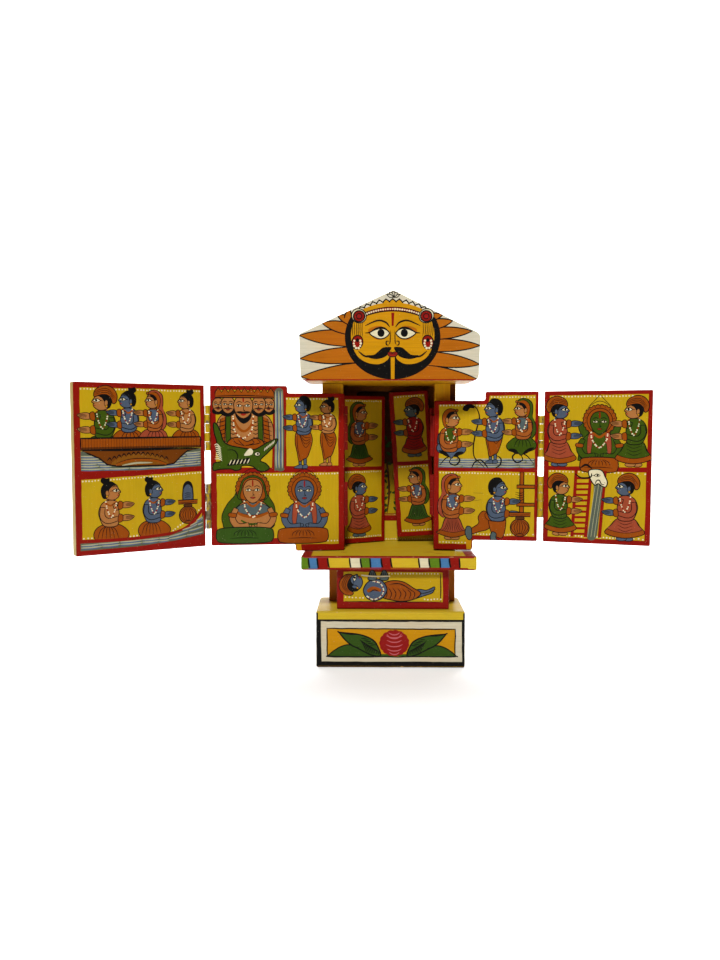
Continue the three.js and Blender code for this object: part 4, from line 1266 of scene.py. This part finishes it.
def bare_wood(name):
    """Unpainted softwood inside the drawer: long grain, pale and dry."""
    f = Finish(name)
    place = f.attribute("grain", 1)
    grain = f.noise(place, (420, 9, 420), 5, 0.6)
    pores = f.noise(place, (2400, 90, 2400), 2, 0.5)
    rings = f.node("ShaderNodeTexWave", {"wave_type": "BANDS", "bands_direction": "X"},
                   {"Vector": f.stretched(place, (70, 4, 30)), "Distortion": 3.5, "Detail": 2.0}, output=1)
    pale, ringed, pore = shade(206, 164, 104), shade(158, 112, 60), shade(110, 74, 38)
    tone = f.mix(rings * 0.5 + grain * 0.4, pale, ringed)
    colour = f.mix(pores.above(0.62, 0.06) * 0.4, tone, pore)
    return f.surface(base_color=colour, roughness=0.72 + (grain - 0.5) * 0.2,
                     normal=f.bump(grain * 0.6 + pores * 0.4, 0.0002, 0.5))


def hinge_metal(name, rubbed):
    """Plated steel under worn paint, blackened in random patches and dull where it is bare; `rubbed` bares
    more.
    """
    f = Finish(name)
    place = f.attribute("grain", 1)
    paint = f.attribute("paint", 0)
    bare = f.noise(place, (190, 130, 190), 4, 0.65).above(0.62 - rubbed, 0.05)
    grime = f.noise(place, (700, 260, 700), 3, 0.6)
    tarnish = shade(78, 62, 42)
    metal = f.mix(grime.above(0.55, 0.15), METAL, tarnish)
    colour = f.mix(bare, f.mix(grime.above(0.68, 0.06) * 0.7, paint, BLACK), metal)
    return f.surface(base_color=colour, metallic=bare * 0.85, roughness=0.5 - bare * 0.14 + grime * 0.1,
                     specular_ior_level=0.15, normal=f.bump(grime * 0.5 - bare * 0.5, 0.0002, 0.5))


FINISH = {
    "door_paint": painted_wood("door_painting", streak=0.16, gloss=0.42),
    "inner_paint": painted_wood("inner_leaf_painting", streak=0.14, gloss=0.46),
    "yellow_paint": painted_wood("yellow_painted_wood", streak=0.2, gloss=0.4),
    "ledge_paint": painted_wood("ledge_painting", streak=0.18, gloss=0.4),
    "roof_paint": painted_wood("roof_painting", streak=0.26, gloss=0.44),
    "upper_hinge": hinge_metal("painted_over_hinge", rubbed=0.02),
    "lower_hinge": hinge_metal("rubbed_hinge", rubbed=0.16),
    "inner_hinge": hinge_metal("red_hinge", rubbed=-0.2),
}
BARE_WOOD = bare_wood("drawer_inside_wood")


# --- The pieces ----------------------------------------------------------------------------------
def sized(draw):
    """A picture drawn at fixed places, whatever the face measures."""
    return lambda picture, width, height: draw(picture)


def facing(way, colour, least=FACING):
    """A paint of its own for the sides that look one way."""
    return lambda place, normal: colour if normal.dot(way) > least else None


def doors():
    for node, draw, sides in (("door_left", left_door_front, None),
                              ("wing_left", left_wing_front, facing(LEFT, PALE_YELLOW)),
                              ("door_right", right_door_front, None), ("wing_right", right_wing_front, None)):
        board = Painted(node, RED, sides=sides, corners=2.2)
        board.picture(FRONT, sized(draw))
        board.picture(BEHIND, plain_back)
        board.piece("door_paint")


def inner_leaves():
    for node, draw in (("leaf_left", left_leaf_front), ("leaf_right", right_leaf_front)):
        board = Painted(node, RED, soft=0.5, corners=1.2)
        board.picture(FRONT, sized(draw))
        board.piece("inner_paint")


def roof():
    block = Painted("roof", PLASTER, soft=1.4, along=RIGHT, sides=roof_sides, corners=3.0, through=BEHIND)
    block.picture(FRONT, sized(roof_front))
    block.piece("roof_paint")


def roof_sides(place, normal):
    """Red slopes behind the front's cream rim, and a yellow soffit whose ends are pink; cream ends."""
    middle, half_soffit, rim, shoulder = -1.5, 76, -58, 5
    if normal.z < -FACING:
        return GOLD if abs(place.x - middle) < half_soffit else PINK
    if normal.z > 0.4:
        return PLASTER if place.y < rim else RED
    if abs(normal.x) > FACING:
        return PLASTER if place.y < shoulder else RED
    return None


def plinth():
    block = Painted("plinth", BRIGHT_YELLOW, soft=1.2, along=RIGHT, sides=plinth_sides)
    block.picture(FRONT, plinth_picture)
    block.piece("yellow_paint")


def plinth_sides(place, normal):
    """Black round the front corners up to the top of the painted frame; brown below."""
    frame_top, foot = 48, 2.5
    if normal.z < -0.5:
        return BROWN
    if place.z < frame_top and normal.y < -0.1 and abs(normal.x) > 0.1:
        return BLACK
    return BLACK if place.z < foot else None


def ledge():
    block = Painted("ledge", RED, soft=0.5, along=RIGHT, sides=ledge_sides)
    block.picture(FRONT, ledge_stripes)
    block.picture(UP, ledge_top, up=BEHIND)
    block.piece("ledge_paint")


def ledge_sides(place, normal):
    """The end blocks' paints run on round the corners of the ledge, as far back as its shoulders."""
    shoulder = 5
    if abs(normal.x) > 0.03 and abs(normal.z) < 0.5 and place.y < shoulder:
        return GRASS if normal.x < 0 else BRIGHT_YELLOW
    return None


def box_walls():
    for node, draw in (("post_left", None), ("post_right", post_edge)):
        # the posts take the lighter yellow: painted light standing in for what their shaded place under the
        # roof lacks
        post = Painted(node, LIT_POST_YELLOW)
        post.picture(FRONT, draw or sized(lambda p: None))
        post.piece("yellow_paint")
    for node, inward in (("wall_left", RIGHT), ("wall_right", LEFT)):
        Painted(node, RED, sides=facing(inward, GOLD)).piece("yellow_paint")
    for node in ("neck_cheek_left", "neck_cheek_right", "neck_back"):
        # the neck's yellow is painted dark ochre: painted shade for its recess under the ledge
        Painted(node, SHADED_NECK_OCHRE).piece("yellow_paint")
    panel = Painted("back_panel", RED, soft=0.4)
    panel.picture(FRONT, sanctum_back, YELLOW)
    panel.picture(BEHIND, plain_back)
    panel.piece("inner_paint")
    step = Painted("altar_step", BRIGHT_YELLOW, soft=0.6, along=RIGHT, sides=facing(UP, RED, 0.5))
    step.picture(FRONT, altar_front)
    step.piece("inner_paint")
    # the sanctum frame's yellow is painted dark gold: painted shade for the inside of the niche
    Painted("sanctum_frame", DARK_GOLD, soft=0.6).piece("inner_paint")


def drawer():
    front = Painted("drawer_front", RED, along=RIGHT)
    front.picture(FRONT, sized(drawer_picture))
    front.piece("door_paint")
    for node, along in (("drawer_side_left", BEHIND), ("drawer_side_right", BEHIND), ("drawer_back", RIGHT),
                        ("drawer_bottom", RIGHT)):
        Painted(node, YELLOW, soft=0.4, along=along).piece("yellow_paint", BARE_WOOD)


def hinges():
    for node in NODES:
        if node.startswith("hinge_"):
            outer = "_wing_" in node
            kind = "lower_hinge" if "wing_left_lower" in node else "upper_hinge" if outer else "inner_hinge"
            Painted(node, YELLOW if outer else RED, soft=0.15).piece("hinge_metal", FINISH[kind])


# --- Room and camera -------------------------------------------------------------------------------
def sweep():
    """A white floor that rises behind in one long curve and turns grey towards the front."""
    half, near, far, bend, top = 6.0, -4.0, 1.4, 1.6, 5.0
    outline = [(near, 0.0), (far, 0.0)]
    for turn in np.linspace(0.1, math.pi / 2, 14):
        outline.append((far + bend * math.sin(turn), bend - bend * math.cos(turn)))
    outline.append((far + bend, top))
    verts = [(x, y, z) for y, z in outline for x in (-half, half)]
    faces = [(2 * i, 2 * i + 1, 2 * i + 3, 2 * i + 2) for i in range(len(outline) - 1)]
    mesh = bpy.data.meshes.new("pale_sweep")
    mesh.from_pydata(verts, [], faces)
    mesh.polygons.foreach_set("use_smooth", [True] * len(faces))
    floor = bpy.data.objects.new("pale_sweep", mesh)
    bpy.context.scene.collection.objects.link(floor)
    f = Finish("pale_floor")
    place = f.node("ShaderNodeNewGeometry")
    cloud = f.noise(place, (1.2, 1.2, 1.2), 2)
    white, grey = f.mix(cloud, shade(253, 253, 253), shade(249, 249, 248)), shade(118, 118, 116)
    behind = f.node("ShaderNodeSeparateXYZ", {}, {0: place}, 1).above(-0.75, 0.15)
    mesh.materials.append(f.surface(base_color=f.mix(behind, grey, white), roughness=0.9))


def lamp(name, place, aim, size, power):
    data = bpy.data.lights.new(name, "AREA")
    data.shape = "DISK"
    data.size = size
    data.energy = power
    light = bpy.data.objects.new(name, data)
    light.location = place
    light.rotation_euler = (Vector(aim) - Vector(place)).to_track_quat("-Z", "Y").to_euler()
    bpy.context.scene.collection.objects.link(light)


def studio():
    lamp("key_lamp", place=(-0.1, -1.5, 1.62), aim=(0, 0, 0.2), size=0.3, power=44)
    lamp("floor_wash", place=(0, 1.6, 2.4), aim=(0, 2.4, 0.9), size=3.0, power=170)
    bpy.context.scene.view_settings.view_transform = "Standard"
    world = bpy.data.worlds.new("soft_room")
    world.use_nodes = True
    background = world.node_tree.nodes["Background"]
    background.inputs["Color"].default_value = (1, 1, 1, 1)
    background.inputs["Strength"].default_value = 0.1
    bpy.context.scene.world = world


def camera():
    data = bpy.data.cameras.new("camera")
    data.lens = 31.7
    data.sensor_width = 36
    data.clip_start = 0.02
    eye_point = bpy.data.objects.new("camera", data)
    eye_point.location = (-0.0192, -0.902, 0.2409)
    down, left = 3.58, 0.775
    eye_point.rotation_euler = (math.radians(90 - down), 0, math.radians(left))
    bpy.context.scene.collection.objects.link(eye_point)
    bpy.context.scene.camera = eye_point


doors()
inner_leaves()
roof()
plinth()
ledge()
box_walls()
drawer()
hinges()
sweep()
studio()
camera()
